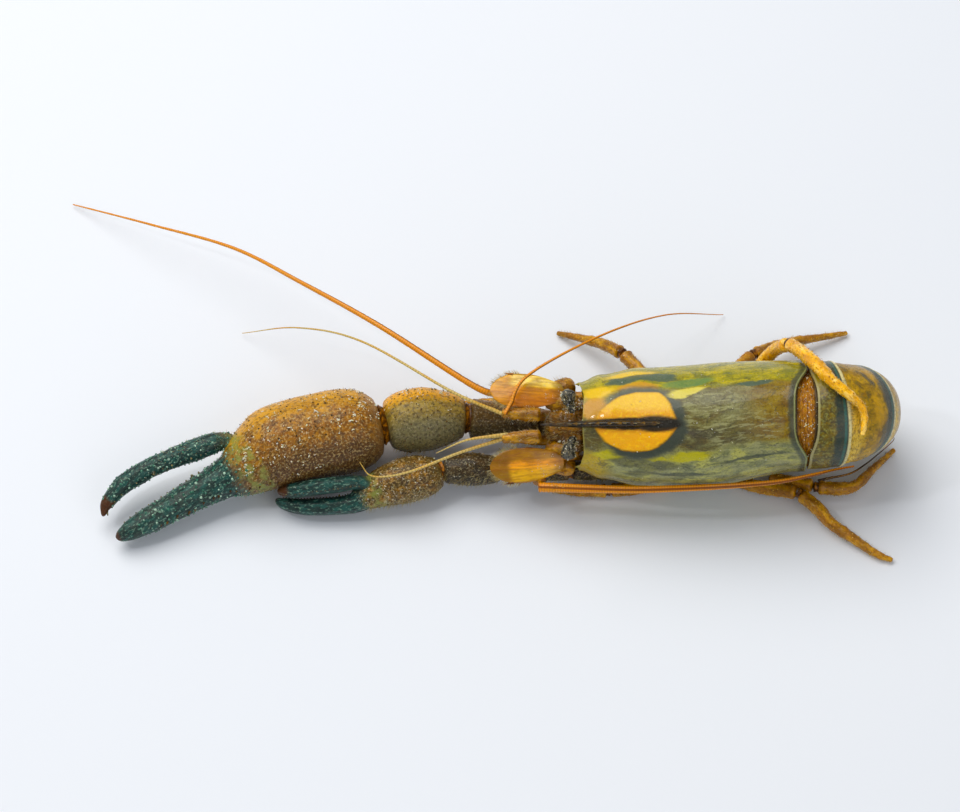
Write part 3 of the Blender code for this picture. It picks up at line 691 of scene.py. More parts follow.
def carapace_ground(paint, flow):
    """The back's own colours: olive brown on top, yellow green at the far side, green at the near."""
    drawn_out = {"soft": 0.18, "stretch": 2.4, "place": flow}
    paint.lay("#474330", paint.clouds(4.6, 0.45, seed=2.0, **drawn_out), 0.8)
    paint.lay("#5A4A2C", paint.clouds(1.7, 0.4, seed=27.0, **drawn_out), 0.5)
    paint.lay("#88875C", paint.clouds(2.8, 0.33, seed=6.0, **drawn_out), 0.6)
    lay_blots(paint, flow, (("#868866", PALE_REAR, 0.8, 0.35), ("#3B3728", DARK_REAR, 0.6, 0.75)))
    rear = paint.ramp("X", -26.0, -12.0)
    paint.lay("#94782E", rear, 0.65)
    paint.lay("#5A4020", paint.clouds(2.4, 0.38, seed=16.0, **drawn_out), 0.7, rear)
    far_side = paint.ramp("Y", 8.5, 12.0, flow)
    paint.lay("#98913A", far_side, 0.9)
    paint.lay("#C0B048", paint.clouds(2.6, 0.42, seed=7.0, **drawn_out), 0.8, far_side)
    paint.lay("#5E6434", paint.clouds(2.0, 0.33, seed=17.0, **drawn_out), 0.7, far_side)
    near_side = paint.ramp("Y", -6.0, -9.5, flow)
    paint.lay("#92946A", near_side, 0.85)
    paint.lay("#B2B066", paint.clouds(2.4, 0.38, seed=3.0, **drawn_out), 0.75, near_side)
    paint.lay("#5C6244", paint.clouds(2.0, 0.36, seed=5.0, **drawn_out), 0.75, near_side)
    paint.lay("#B49A38", paint.ramp("X", -56.0, -62.0), 0.8, near_side)
    paint.lay("#2F3024", paint.veins(6.0, 0.012, 2.0, 18.0, flow), 0.6)
    paint.lay("#A8A684", paint.veins(3.6, 0.01, 2.4, 19.0, flow), 0.35)


def lay_markings(paint, flow):
    """The blots of the flanks and the front, marbled more than the golden patches."""
    layers = (
        ("#E6BE30", YELLOW_FRONT, 0.6, 0.85),
        ("#C89A5A", BEIGE, 0.4, 0.8),
        ("#46574A", SLATE_BAND, 0.35, 0.9),
        ("#5E7C50", TEAL_BAND, 0.4, 0.8),
        # The pale streak is a painted highlight.
        ("#DCD078", HIGHLIGHT_STREAK, 0.4, 0.8),
        ("#B6AE44", NEAR_RIBBONS, 0.5, 0.85),
        ("#3E3E24", NEAR_MOTTLES, 0.5, 0.65),
        ("#343C2C", LOWER_LINE, 0.5, 0.8),
    )
    lay_blots(paint, flow, layers)
    behind_front = paint.ramp("X", -63.0, -55.0)
    outlines = (("#454B42", OUTLINE_FAR, 0.22, 0.9), ("#373D34", OUTLINE_NEAR, 0.22, 0.9))
    lay_blots(paint, flow, outlines, behind_front)


def carapace_look():
    """Mineralised chitin, clear and hard over the colour cells: glossy, with soft marbled colour."""
    paint = Paint("mottled_back_chitin", "#605A34", reach=0.4, swirl=4.0, stretch=2.4)
    wide = paint.place
    flow = paint.pushed(1.5, 5.5, 2.2)
    carapace_ground(paint, flow)
    paint.lay("#2B2A1C", paint.clouds(0.55, 0.25, soft=0.08, seed=11.0, place=wide), 0.35)
    # Thin pale streaks behind the golden patches are painted highlights of the wet shell.
    painted_highlight_streaks = paint.both(
        paint.blots(((-33.0, 3.0, 11.0, 6.5, 0), (-22.0, -4.0, 11.0, 6.0, 0))),
        paint.clouds(0.9, 0.3, soft=0.08, stretch=5.0, seed=4.0, place=wide),
    )
    paint.lay("#A4A47C", painted_highlight_streaks, 0.45)
    lay_markings(paint, flow)
    far_leaf = paint.both(paint.blots(GOLD_FAR, 0.07), paint.blots(GOLD_FAR_END, 0.06))
    gold = paint.both(far_leaf, paint.ramp("Y", 0.8, 1.5))
    paint.lay("#D8960E", gold)
    # The far patch is painted lighter yellow towards its upper side and has pale clouds over it: partly its
    # own colour, partly painted highlight.
    paint.lay("#DCB222", paint.ramp("Y", 2.2, 5.0), 0.85, gold)
    paint.lay("#EAC95A", paint.clouds(0.7, 0.25, soft=0.1, seed=8.0, place=wide), 0.55, gold)
    near_leaf = paint.both(paint.blots(GOLD_NEAR, 0.08), paint.blots(GOLD_NEAR_END, 0.06))
    near_gold = paint.both(near_leaf, paint.ramp("Y", -0.7, -1.3))
    paint.lay("#E8A40E", near_gold)
    paint.lay("#BC7414", paint.ramp("Y", -3.0, -1.2), 0.6, near_gold)
    near_grain = paint.clouds(0.9, 0.25, soft=0.12, stretch=2.0, seed=9.0, place=wide)
    paint.lay("#F2C23A", near_grain, 0.55, near_gold)
    paint.lay("#17130A", paint.blots(MIDLINE, 0.35), 0.97)
    paint.lay("#A39A58", paint.ramp("X", -64.8, -65.8, wide), 0.7)
    paint.lay("#2E3830", paint.ramp("X", HEAD_JOINT_X - 2.4, HEAD_JOINT_X - 1.2), 0.8)
    # A pale line along the raised rear rim: partly the rim's own colour, partly painted highlight.
    paint.lay("#8E9468", paint.ramp("X", HEAD_JOINT_X - 0.5, HEAD_JOINT_X - 0.2, wide), 0.7)
    paint.emboss(paint.clouds(0.5, 0.5, soft=FINE_PORES, seed=12.0), 0.05)
    paint.emboss(paint.clouds(3.0, 0.5, soft=0.6, seed=13.0), 0.12)
    return paint.done(0.3, wet=0.6, glow=0.04)


CARAPACE_LOOK = carapace_look()
# The crest is the same chitin, dark brown with paler, worn spots.
CREST_LOOK = small_finish("crest_chitin", "#1C150B", "#463618", "#0C0905", 2.5, 0.3, wet=0.4)
print("carapace pattern nodes:", len(CARAPACE_LOOK.node_tree.nodes))

# %% [markdown]
# ## The tail's pattern
# Each tail segment repeats one scheme: a pale yellow crescent where it comes out from under
# the last one, golden brown marbling over its arch, and a slate border with a fine teal line
# and a pale rim at its rear edge. The map runs along the whole tail, so one material paints
# all six.

# %% Tail pattern
SEGMENT_STARTS = [sum(SEGMENT_LENGTHS[:i]) for i in range(len(SEGMENT_LENGTHS))]
SECOND_END = SEGMENT_STARTS[2]
SLATE_SWIRLS = (
    (SECOND_END - 4.2, 4.5, 1.8, 6.5, 12),
    (SECOND_END - 4.6, -6.0, 1.5, 6.0, -10),
    (SECOND_END - 8.4, 9.5, 1.6, 3.4, 30),
)
GOLDEN_SWIRLS = ((SECOND_END - 7.6, 0.0, 2.6, 6.5, 8), (SECOND_END - 6.6, 11.0, 2.2, 4.0, 20))


def tail_look():
    """The same hard, clear chitin as the back's, banded from segment to segment."""
    paint = Paint("banded_tail_chitin", "#A28236", reach=0.6, swirl=3.5, stretch=1.2)
    wide = paint.place
    flow = paint.marbled
    paint.lay("#6A5034", paint.clouds(4.5, 0.45, soft=0.3, seed=21.0, place=flow), 0.75)
    paint.lay("#C29A34", paint.clouds(3.0, 0.38, soft=0.25, stretch=1.4, seed=22.0, place=flow), 0.75)
    paint.lay("#3C4434", paint.clouds(2.4, 0.25, soft=0.2, seed=23.0, place=flow), 0.6)
    first = paint.band("X", -3.0, SEGMENT_LENGTHS[0] - 1.0, 1.5)
    paint.lay("#524C28", first, 0.9)
    paint.lay("#3C3820", paint.clouds(2.6, 0.45, stretch=0.7, seed=29.0, place=flow), 0.7, first)
    paint.lay("#7E6A30", paint.clouds(1.8, 0.35, stretch=0.7, seed=30.0, place=flow), 0.6, first)
    paint.lay("#A89638", paint.ramp("Y", 5.0, 11.0), 0.8, first)
    paint.lay("#8E8C56", paint.clouds(0.9, 0.3, soft=0.12, seed=24.0, place=wide), 0.55, first)
    for start, length in zip(SEGMENT_STARTS, SEGMENT_LENGTHS):
        end = start + length
        if start:
            fade = start + 0.14 * length
            from_start = paint.ramp("X", start - 0.2, start + 0.3)
            crescent = paint.both(from_start, paint.ramp("X", fade + 3.2, fade))
            paint.lay("#DDC070", paint.ramp("Y", 9.0, -4.0), 0.85, crescent)
            streaks = paint.clouds(1.3, 0.35, stretch=0.4, seed=28.0, place=flow)
            paint.lay("#8A6A34", streaks, 0.7, crescent)
        paint.lay("#26332F", paint.band("X", end - 3.6, end - 1.2, 1.2), 0.92)
        paint.lay("#3F6E66", paint.band("X", end - 1.9, end - 1.5, 0.3, wide), 0.5)
        paint.lay("#D6CDA0", paint.band("X", end - 0.8, end + 0.2, 0.4, wide), 0.85)
    paint.lay("#4E4A34", paint.clouds(1.2, 0.25, soft=0.1, seed=25.0, place=wide), 0.35)
    paint.lay("#3A2E1E", paint.veins(5.0, 0.012, 1.0, 26.0), 0.5)
    paint.lay("#4A4A40", paint.blots(SLATE_SWIRLS, 0.6), 0.75)
    paint.lay("#C69A36", paint.blots(GOLDEN_SWIRLS, 0.7), 0.6)
    paint.lay("#A8A27A", paint.band("X", -2.0, 0.4, 0.3, wide), 0.7)
    paint.emboss(paint.clouds(0.5, 0.5, soft=FINE_PORES, seed=12.0), 0.05)
    paint.emboss(paint.clouds(2.5, 0.5, soft=0.6, seed=14.0), 0.1)
    return paint.done(0.3, wet=0.5, glow=0.05)


TAIL_LOOK = tail_look()
print("tail segments start at", [round(start, 1) for start in SEGMENT_STARTS], "mm along the tail")

# %% [markdown]
# ## Finishes of the claws, legs, scales and feelers
# A claw is brown on its palm and blue green on its fingers, so its material changes along the
# limb. Legs are orange brown and a little see-through, as are the scales and stems of the
# feelers, which get some subsurface light. The whips of the feelers are ringed.

# %% Limb finishes


def claw_look(name, root, middle, far, near, teal_from, teal_to, tip_from):
    """Thick, rough chitin. The fingers' blue green comes in from teal_from to teal_to mm along."""
    paint = Paint(name, middle, reach=1.0, swirl=4.0, stretch=1.6)
    wide = paint.place
    flow = paint.marbled
    paint.lay("#4E3622", paint.clouds(3.2, 0.4, soft=0.2, seed=31.0, place=flow), 0.6)
    paint.lay("#B28448", paint.clouds(1.9, 0.36, soft=0.2, seed=32.0, place=flow), 0.6)
    paint.lay(near, paint.ramp("Y", -5.0, -11.0), 0.85)
    paint.lay(far, paint.ramp("Y", 1.0, 8.0), 0.85)
    paint.lay(far, paint.both(paint.ramp("Y", -3.0, 3.0), paint.clouds(4.5, 0.45, soft=0.3, seed=40.0)), 0.7)
    paint.lay("#33241A", paint.clouds(1.0, 0.36, soft=0.12, seed=33.0, place=flow), 0.55)
    paint.lay("#C4AC80", paint.clouds(0.7, 0.24, soft=0.08, seed=38.0, place=wide), 0.5)
    paint.lay(root, paint.ramp("X", 5.0, 1.0), 0.6)
    near_finger = paint.band("X", teal_from - 2.5, teal_from + 1.5, 2.0)
    pale = paint.both(near_finger, paint.clouds(2.4, 0.5, soft=0.2, seed=39.0))
    paint.lay("#848C50", pale, 0.75)
    finger = paint.ramp("X", teal_from, teal_to)
    paint.lay("#15302E", finger, 0.97)
    paint.lay("#264E48", paint.clouds(1.8, 0.45, stretch=2.0, seed=34.0, place=wide), 0.8, finger)
    paint.lay("#0C1C1C", paint.clouds(1.1, 0.3, stretch=2.0, seed=45.0, place=wide), 0.7, finger)
    paint.lay("#8FB09C", paint.clouds(0.7, 0.15, soft=0.08, stretch=1.5, seed=35.0, place=wide), 0.4, finger)
    paint.lay("#4A2A16", paint.ramp("X", tip_from, tip_from + 1.2), 0.9)
    paint.emboss(paint.clouds(0.8, 0.5, soft=0.4, seed=36.0), 0.12)
    paint.emboss(paint.clouds(2.2, 0.5, soft=0.5, seed=37.0), 0.2)
    return paint.done(0.4, wet=0.35)


def arm_look(name, top, middle, below):
    """The claw's arm: thick chitin, orange yellow above and grey green below, with dark dots."""
    paint = Paint(name, middle, reach=0.9, swirl=3.5)
    wide = paint.place
    paint.lay("#5A4426", paint.clouds(2.8, 0.38, soft=0.25, seed=41.0, place=paint.marbled), 0.55)
    paint.lay(below, paint.ramp("Y", -1.0, -6.0), 0.8)
    paint.lay(top, paint.ramp("Y", 0.0, 4.5), 0.85)
    paint.lay("#2E261A", paint.clouds(0.9, 0.3, soft=0.1, seed=42.0, place=wide), 0.6)
    paint.lay("#ABA084", paint.clouds(0.6, 0.2, soft=0.06, seed=44.0, place=wide), 0.35)
    paint.lay("#503820", paint.ramp("X", 2.2, 0.4), 0.6)
    paint.emboss(paint.clouds(0.7, 0.5, soft=0.4, seed=43.0), 0.12)
    return paint.done(0.4, wet=0.35, glow=0.05)


def leg_look(name, ground, light, dark, rough):
    """Thin chitin over orange flesh: it glows a little, with paler clouds that are partly painted glints,
    and dark speckles.
    """
    paint = Paint(name, ground, reach=0.5, swirl=2.5)
    wide = paint.place
    # The paler clouds are partly painted glints.
    paint.lay(light, paint.clouds(2.0, 0.42, soft=0.2, stretch=2.0, seed=51.0, place=paint.marbled), 0.7)
    paint.lay(dark, paint.clouds(2.6, 0.3, soft=0.25, stretch=2.5, seed=54.0, place=paint.marbled), 0.45)
    paint.lay(dark, paint.clouds(0.6, 0.25, soft=0.1, stretch=1.5, seed=52.0, place=wide), 0.4)
    paint.emboss(paint.clouds(0.6, 0.5, soft=0.4, seed=53.0), 0.08)
    return paint.done(rough, wet=0.5, glow=0.04)


def ringed_look(name, ground, ring_tint, groove_shade_tint, spacing):
    """A feeler's thin chitin. Its joints show as rings, drawn a little wider apart than the real ones, and a
    dark line of painted shade runs along it.
    """
    paint = Paint(name, ground, reach=0.05, swirl=2.0)
    inputs = {"Vector": paint.place, "Scale": 2 * pi / (20 * spacing)}
    rings = add(paint.tree, "TexWave", inputs, bands_direction="X").outputs["Fac"]
    dark = add(paint.tree, "MapRange", {0: rings, 1: 0.45, 2: 1.0}, **SMOOTH)
    streaks = paint.clouds(3.0, 0.3, soft=0.2, stretch=3.0, seed=61.0, place=paint.place)
    paint.lay("#D9963A", streaks, 0.45)
    paint.lay(ring_tint, dark.outputs[0], 0.45)
    # A dark line along the whip is painted shade, as in a crease where two strands lie side by side.
    paint.lay(groove_shade_tint, paint.band("Y", 0.45, 0.85, 0.25, paint.place), 0.85)
    return paint.done(0.35, wet=0.5, glow=0.05)


def scale_look(name, ground, outer_tint, inner_tint, front_tint):
    """The broad scale beside the head: a thin, clear blade, lit from inside, with a thicker rim."""
    paint = Paint(name, ground, reach=0.5, swirl=3.0)
    wide = paint.place
    paint.lay(inner_tint, paint.ramp("Y", 0.5, -2.5), 0.85)
    paint.lay(outer_tint, paint.ramp("Y", 0.4, 2.0), 0.9)
    paint.lay(front_tint, paint.ramp("X", 13.6, 15.4), 0.85)
    paint.lay("#6E400E", paint.clouds(2.2, 0.3, soft=0.2, stretch=2.5, seed=71.0, place=paint.marbled), 0.45)
    paint.lay("#4A3214", paint.ramp("X", 4.0, 0.5), 0.6)
    for start, end in ((4.0, 4.8), (-4.0, -4.8)):
        paint.lay("#8A5A1C", paint.ramp("Y", start, end, wide), 0.8)
    veins = paint.clouds(0.7, 0.35, soft=0.1, stretch=8.0, seed=72.0, place=wide)
    paint.lay("#8A4A10", veins, 0.35)
    paint.emboss(veins, 0.05)
    return paint.done(0.22, wet=0.8, glow=0.06, glow_reach=1.2)


def membrane_look():
    """Soft skin of the opened neck joint: wet, folded and rust brown, darker towards its rims."""
    paint = Paint("neck_membrane_skin", "#AC7022", reach=0.5, swirl=2.0, stretch=0.5)
    wide = paint.place
    paint.lay("#C8943C", paint.clouds(1.8, 0.4, soft=0.25, stretch=0.4, seed=81.0, place=wide), 0.7)
    paint.lay("#5E3414", paint.clouds(1.4, 0.35, soft=0.15, stretch=0.35, seed=82.0, place=wide), 0.7)
    paint.lay("#2C3630", paint.ramp("X", 2.5, 1.6, wide), 0.92)
    paint.lay("#2A2C22", paint.ramp("X", 6.1, 6.9, wide), 0.9)
    paint.emboss(paint.clouds(0.9, 0.5, soft=0.4, stretch=0.4, seed=83.0, place=wide), 0.2)
    return paint.done(0.3, wet=0.6, glow=0.15)


BIG_CLAW_LOOK = claw_look("big_claw_chitin", "#7E6244", "#8A6038", "#D29A30", "#4C3622", 39.5, 45.0, 77.0)
SMALL_CLAW_LOOK = claw_look(
    "small_claw_chitin", "#56482A", "#4A3C20", "#5C4A26", "#564A2C", 21.0, 24.0, 46.0
)
BIG_FINGER_LOOK = claw_look(
    "big_finger_chitin", "#5A5A2E", "#555C34", "#6A6434", "#3E4630", 0.5, 7.0, 38.5
)
SMALL_FINGER_LOOK = claw_look(
    "small_finger_chitin", "#646A38", "#646C3A", "#6E7440", "#525A38", 0.5, 3.0, 22.3
)
WRIST_LOOK = arm_look("wrist_chitin", "#F0AC2C", "#94804A", "#66644C")
ARM_LOOK = arm_look("arm_chitin", "#7E5824", "#544022", "#453E28")
SMALL_ARM_LOOK = arm_look("small_arm_chitin", "#3E2E10", "#2A200E", "#242012")
LEG_LOOK = leg_look("leg_chitin", "#A26C1E", "#DAAC5A", "#54340E", 0.25)
# The raised leg's chitin is the other legs' chitin painted lighter: painted light, as it lies higher in the
# lamps' light.
LIT_LEG_LOOK = leg_look("painted_lit_leg_chitin", "#F0B440", "#FFE49E", "#B06A20", 0.2)
HEAD_LOOK = leg_look("head_chitin", "#5C4020", "#B07C30", "#17110B", 0.2)
# The stems' paler clouds are painted glints.
STEM_LOOK = leg_look("stem_chitin", "#966420", "#D4A24C", "#2C1E0E", 0.2)
PLATE_LOOK = leg_look("underside_chitin", "#9A7A44", "#BFA468", "#5A4424", 0.3)
ANTENNA_LOOK = ringed_look("antenna_chitin", "#D88A22", "#92560F", "#6A3410", 0.7)
ANTENNULE_LOOK = ringed_look("antennule_chitin", "#C2AE78", "#7A6428", "#7A5C20", 0.9)
WHISKER_LOOK = ringed_look("dark_antennule_chitin", "#33200F", "#1B120A", "#1B120A", 0.9)
FAR_SCALE_LOOK = scale_look("far_scale_chitin", "#D08A18", "#FCE490", "#B86C0C", "#CF9440")
NEAR_SCALE_LOOK = scale_look("near_scale_chitin", "#F8A20A", "#9A7028", "#D8AA20", "#7E5A20")
MEMBRANE_LOOK = membrane_look()
print("the big claw's pattern has", len(BIG_CLAW_LOOK.node_tree.nodes), "nodes")

# %% [markdown]
# ## The carapace
# One shield covers the head and the thorax. It is swept from rings whose front margin is cut
# out for the eyes and drawn forward into small spines. Both edges are turned inwards, so the
# shell shows a rounded lip and not a cut. The same rings are the solid's, only finer.

# %% Carapace
SHELL_SIDES = 120
CARAPACE_STEPS = 72
RIM_HEIGHT = 0.25
FRONT_MARGIN = ((0, 0.4), (40, 0.8), (56, 0.2), (70, -0.5), (100, -0.2), (130, 0.6), (180, 2.5))
FRONT_SPINES_DEG = (20, 160)
# Shares of the body's half width and radius, from the eyes (0) to the rear edge (1).
CARAPACE_WIDTH = ((0, 0.71), (0.1, 0.84), (0.28, 0.95), (0.6, 1.0), (1, 0.89))
CARAPACE_TOP = ((0, 0.74), (0.15, 0.84), (0.5, 0.97), (0.85, 1.015), (1, 1.0))
CARAPACE_BOTTOM = ((0, 0.26), (0.15, 0.405), (0.4, 0.543), (0.8, 0.571), (1, 0.5))
CARAPACE_MIDDLE = ((0, 0.143), (0.4, 0.095), (1, 0.143))


def body_section(angle, half_width, top, bottom, middle):
    """A point of the body's cross-section as (y, z): round above its middle, boxier below it."""
    above = sin(angle) >= 0
    y, z = superellipse(angle, 2.1 if above else 2.9)
    return half_width * y, middle + z * (top - middle if above else middle - bottom)


def lean_at(angle, lean):
    """How far back a shell's edge lies at this angle: nothing at the top, all of lean at the sides."""
    return lean * value_at(((0, 0), (NECK_CLOSES_AT, 1)), 1 - max(sin(angle), 0.0))


def margin_shift(angle, t):
    """How far the front margin lies back from a plain cut, which fades out behind the margin."""
    return value_at(FRONT_MARGIN, abs(degrees(angle) - 90)) * max(1 - t / 0.25, 0.0) ** 2


def carapace_ring(t, x_offset=0.0, lean=0.0, shrink=1.0, cut_out=True):
    """A ring across the carapace at share t of its length, counted from the eyes."""
    x = HEAD_JOINT_X - CARAPACE_LENGTH * (1 - t) + x_offset
    half_width = BODY_WIDTH / 2 * value_at(CARAPACE_WIDTH, t)
    top = BODY_RADIUS * value_at(CARAPACE_TOP, t)
    bottom = -BODY_RADIUS * value_at(CARAPACE_BOTTOM, t)
    middle = BODY_RADIUS * value_at(CARAPACE_MIDDLE, t)
    sway = value_at(((0.5, 0), (1, TAIL_SWAY[0][1])), t)
    ring = []
    for angle in ring_angles(SHELL_SIDES):
        y, z = body_section(angle, half_width * shrink, top * shrink, bottom * shrink, middle)
        shift = margin_shift(angle, t) if cut_out else 0.0
        ring.append(Vector((x + lean_at(angle, lean) + shift, y + sway, z)))
    return ring


def carapace_rings():
    """The inner front lip, the outer skin with a raised rear rim, and the inner rear lip."""
    rings = [carapace_ring(0.08, shrink=0.86, cut_out=False), carapace_ring(0.0, 0.3, shrink=0.97)]
    along = [-61.0, -65.2]
    for step in range(CARAPACE_STEPS + 1):
        t = step / CARAPACE_STEPS
        rim = RIM_HEIGHT * value_at(((0.955, 0), (0.97, 1)), t) / BODY_RADIUS
        lean = CARAPACE_LEAN * value_at(((0.6, 0), (1, 1)), t)
        rings.append(carapace_ring(t, lean=lean, shrink=1 + rim))
        along.append(HEAD_JOINT_X - CARAPACE_LENGTH * (1 - t))
    for x_offset, shrink in ((0.2, 0.985), (0.1, 0.96), (-1.5, 0.94)):
        rings.append(carapace_ring(1.0, x_offset, CARAPACE_LEAN, shrink))
        along.append(HEAD_JOINT_X + x_offset)
    return rings, along


CREST = [
    (-40, 0, 18.6, 0.4),
    (-45, 0, 18.0, 0.8),
    (-53, 0, 17.2, 1.0),
    (-61, 0, 15.8, 1.0),
    (-68, 0, 13.8, 0.8),
    (-76.3, 0, 12.0, 0.3),
]
CREST_TEETH = 10
BACK_FROST_GLINTS = 110


def set_crest(bm):
    """The toothed crest on the midline, with a few bristles between its teeth."""
    crest = Limb(CREST, flat=2.3)
    lay_limb(bm, crest, 16, GRAIN)
    for tooth in range(CREST_TEETH):
        at = crest.length * (0.16 + 0.8 * tooth / CREST_TEETH)
        place, out, ahead = crest.spot(at, pi / 2)
        set_spike(place, (out + ahead).normalized(), 0.55, 1.5, SPINE)
        for _ in range(3):
            root = place - ahead * chance.uniform(0.4, 1.6)
            lean = ahead * chance.uniform(0.2, 0.8)
            set_spike(root, (out + lean).normalized(), 0.07, 1.2, HAIR, 3)
    for at in (0.75, 0.86):
        place, out, ahead = crest.spot(crest.length * at, -pi / 2)
        set_spike(place, (out + ahead).normalized(), 0.4, 0.9, SPINE)


def make_carapace():
    bm = bmesh.new()
    rings, along = carapace_rings()
    lay_skin(bm, rings, along, SHELL)
    set_crest(bm)
    front = rings[2]
    for angle in FRONT_SPINES_DEG:
        i = round((angle + 90) / 360 * SHELL_SIDES) % SHELL_SIDES
        set_spike(front[i], Vector((-1, 0, 0.1)).normalized(), 0.5, 1.2, HINGE)
    # Off-white crumbs on the back: partly real frost, partly set where the wet shell shows glints, as
    # painted glints.
    for _ in range(BACK_FROST_GLINTS):
        ring = chance.choice(rings[8:-6])
        i = int(chance.gauss(0.5, 0.12) * SHELL_SIDES) % SHELL_SIDES
        set_grain(ring[i], 0.24 * chance.uniform(0.35, 1.0) ** 2, ICE)
    looks = [CARAPACE_LOOK, BUMP, BRISTLE, FROST, RIM, CREST_LOOK]
    finish_piece(bm, "dressed_carapace", BODY, looks, ["carapace"])


make_carapace()
print("carapace triangles:", tally["dressed_carapace"])

# %% [markdown]
# ## The opened neck joint
# The body bends here, so the soft skin between carapace and tail shows as a rust brown lens.
# It is folded across, and frost has settled in it. Its rings follow the carapace's rear edge.

# %% Neck membrane
GAP = 0.3
NECK_STEPS = 28
NECK_CRUMBS = 170
NECK_SHRINK = 0.93
NECK_FOLDS = 6
NECK_MAP_LENGTH = 8


def neck_ring(share):
    """A ring of the skin, at share of the way from the carapace to the first tail segment."""
    front = carapace_ring(1.0, -1.2, CARAPACE_LEAN, NECK_SHRINK)
    back = carapace_ring(1.0, NECK_OPENING + 0.6, -TAIL_LEAN, NECK_SHRINK)
    fold = 0.2 * sin(share * NECK_FOLDS * 2 * pi) - 0.5 * sin(share * pi)
    ring = []
    for i, (a, b) in enumerate(zip(front, back)):
        crease = 0.16 * sin(i * 0.9 + 2.5 * sin(7 * share)) * sin(share * pi)
        middle = a.lerp(b, share)
        inwards = Vector((0, -middle.y, -middle.z)).normalized()
        ring.append(middle - inwards * (fold + crease))
    return ring


def make_membrane():
    bm = bmesh.new()
    shares = [step / NECK_STEPS for step in range(NECK_STEPS + 1)]
    along = [NECK_MAP_LENGTH * share for share in shares]
    lay_skin(bm, [neck_ring(share) for share in shares], along, SHELL)
    for _ in range(NECK_CRUMBS):
        ring = neck_ring(min(max(chance.gauss(0.6, 0.17), 0.25), 0.92))
        i = int(chance.gauss(0.5, 0.11) * SHELL_SIDES) % SHELL_SIDES
        place = ring[i].lerp(ring[(i + 1) % SHELL_SIDES], chance.random())
        set_grain(place, 0.3 * chance.uniform(0.3, 1.0) ** 2, ICE)
    looks = [MEMBRANE_LOOK, BUMP, BRISTLE, FROST]
    finish_piece(bm, "dressed_neck", BODY, looks, ["neck_membrane"])


make_membrane()
print("neck membrane triangles:", tally["dressed_neck"])

# %% [markdown]
# ## The tail
# Six arched segments overlap like roof tiles, so each one's front is tucked under the one
# before it and its rear edge turns in. Their backs run round the curl. The second one is a
# little wider at its sides, as its side lobes lie over both neighbours in a river prawn. Under
# each of the first five hangs a pair of swimming legs, folded into the hollow of the curl: a
# flat stem and two fringed paddles on each side.

# %% Tail segments
SEGMENT_SIDES = 96
SEGMENT_STEPS = 16
SEGMENT_FLARE = 0.035
SEGMENT_LOBE = 0.13
REAR_BORDER = 0.008
FRONT_STEP = 0.006
TUCK = 1.2
WIDTH_KNOTS = ((0, 0.9), (9, 0.85), (17, 0.8), (26, 0.74), (42, 0.62), (56, 0.52), (73, 0.43))
DEPTH_KNOTS = ((0, 1.214), (3, 0.919), (42, 0.867), (54, 0.69), (64, 0.59), (73, 0.495))


def back_line(s):
    """(x, z, angle) of the back at arc length s. The angle turns from 0 on top to pi underneath."""
    bend = s + ABDOMEN_START_X
    if bend < 0:
        return bend, BODY_RADIUS, 0.0
    angle = min(bend / BODY_RADIUS, pi)
    past = max(bend - pi * BODY_RADIUS, 0.0)
    return BODY_RADIUS * sin(angle) - past, BODY_RADIUS * cos(angle), angle


def abdomen_ring(s, share, lean=0.0, shrink=1.0, side_grow=0.0):
    """A ring across the abdomen at arc length s. share runs from 0 to 1 along its own segment."""
    x, z, angle = back_line(s)
    half_width = BODY_WIDTH / 2 * value_at(WIDTH_KNOTS, s) * shrink
    depth = BODY_RADIUS * value_at(DEPTH_KNOTS, s)
    arch = depth * value_at(((0, 0.7), (20, 0.62), (50, 0.5)), s)
    sway = value_at(TAIL_SWAY, s)
    turn = value_at(TAIL_TURN, s)
    inset = 0.5 * depth * (1 - shrink)
    flare = 1 - SEGMENT_FLARE * (1 - share)
    lobe = 1 - SEGMENT_LOBE * (2 * share - 1) ** 2
    ring = []
    for around in ring_angles(SEGMENT_SIDES):
        y, down = body_section(around, half_width * flare, -inset, inset - depth * lobe, -arch)
        y *= 1 + side_grow * max(0.4 - sin(around), 0.0)
        down += 0.7 * BODY_RADIUS * (flare - 1) * max(sin(around), 0.0)
        forward = x + lean_at(around, lean) + down * sin(angle) - turn * y
        ring.append(Vector((forward, y + sway, z + down * cos(angle))))
    return ring


def segment_rings(number, start, length):
    """The tucked front, the arch with its raised rear border, and the inner rear lip."""
    side_grow = 0.02 if number == 2 else 0.0
    first_lean = -TAIL_LEAN if number == 1 else 0.0
    end = start + length - GAP
    front = 0.0 if number == 1 else TUCK
    rings = [
        abdomen_ring(start - front + 0.5, 0.0, first_lean, 0.9),
        abdomen_ring(start - front, 0.0, first_lean, 0.955),
    ]
    along = [start - front, start - front]
    for step in range(SEGMENT_STEPS + 1):
        share = step / SEGMENT_STEPS
        s = start + share * (length - GAP)
        raised = REAR_BORDER * value_at(((0.88, 0), (0.94, 1)), share)
        sunk = FRONT_STEP * value_at(((0.1, 1), (0.22, 0)), share)
        rings.append(abdomen_ring(s, share, first_lean * (1 - share), 1 + (raised - sunk), side_grow))
        along.append(s)
    for past, shrink in ((0.15, 0.99), (0.0, 0.965), (-1.5, 0.95)):
        rings.append(abdomen_ring(end + past, 1.0, 0.0, shrink, side_grow))
        along.append(end + past)
    return rings, along


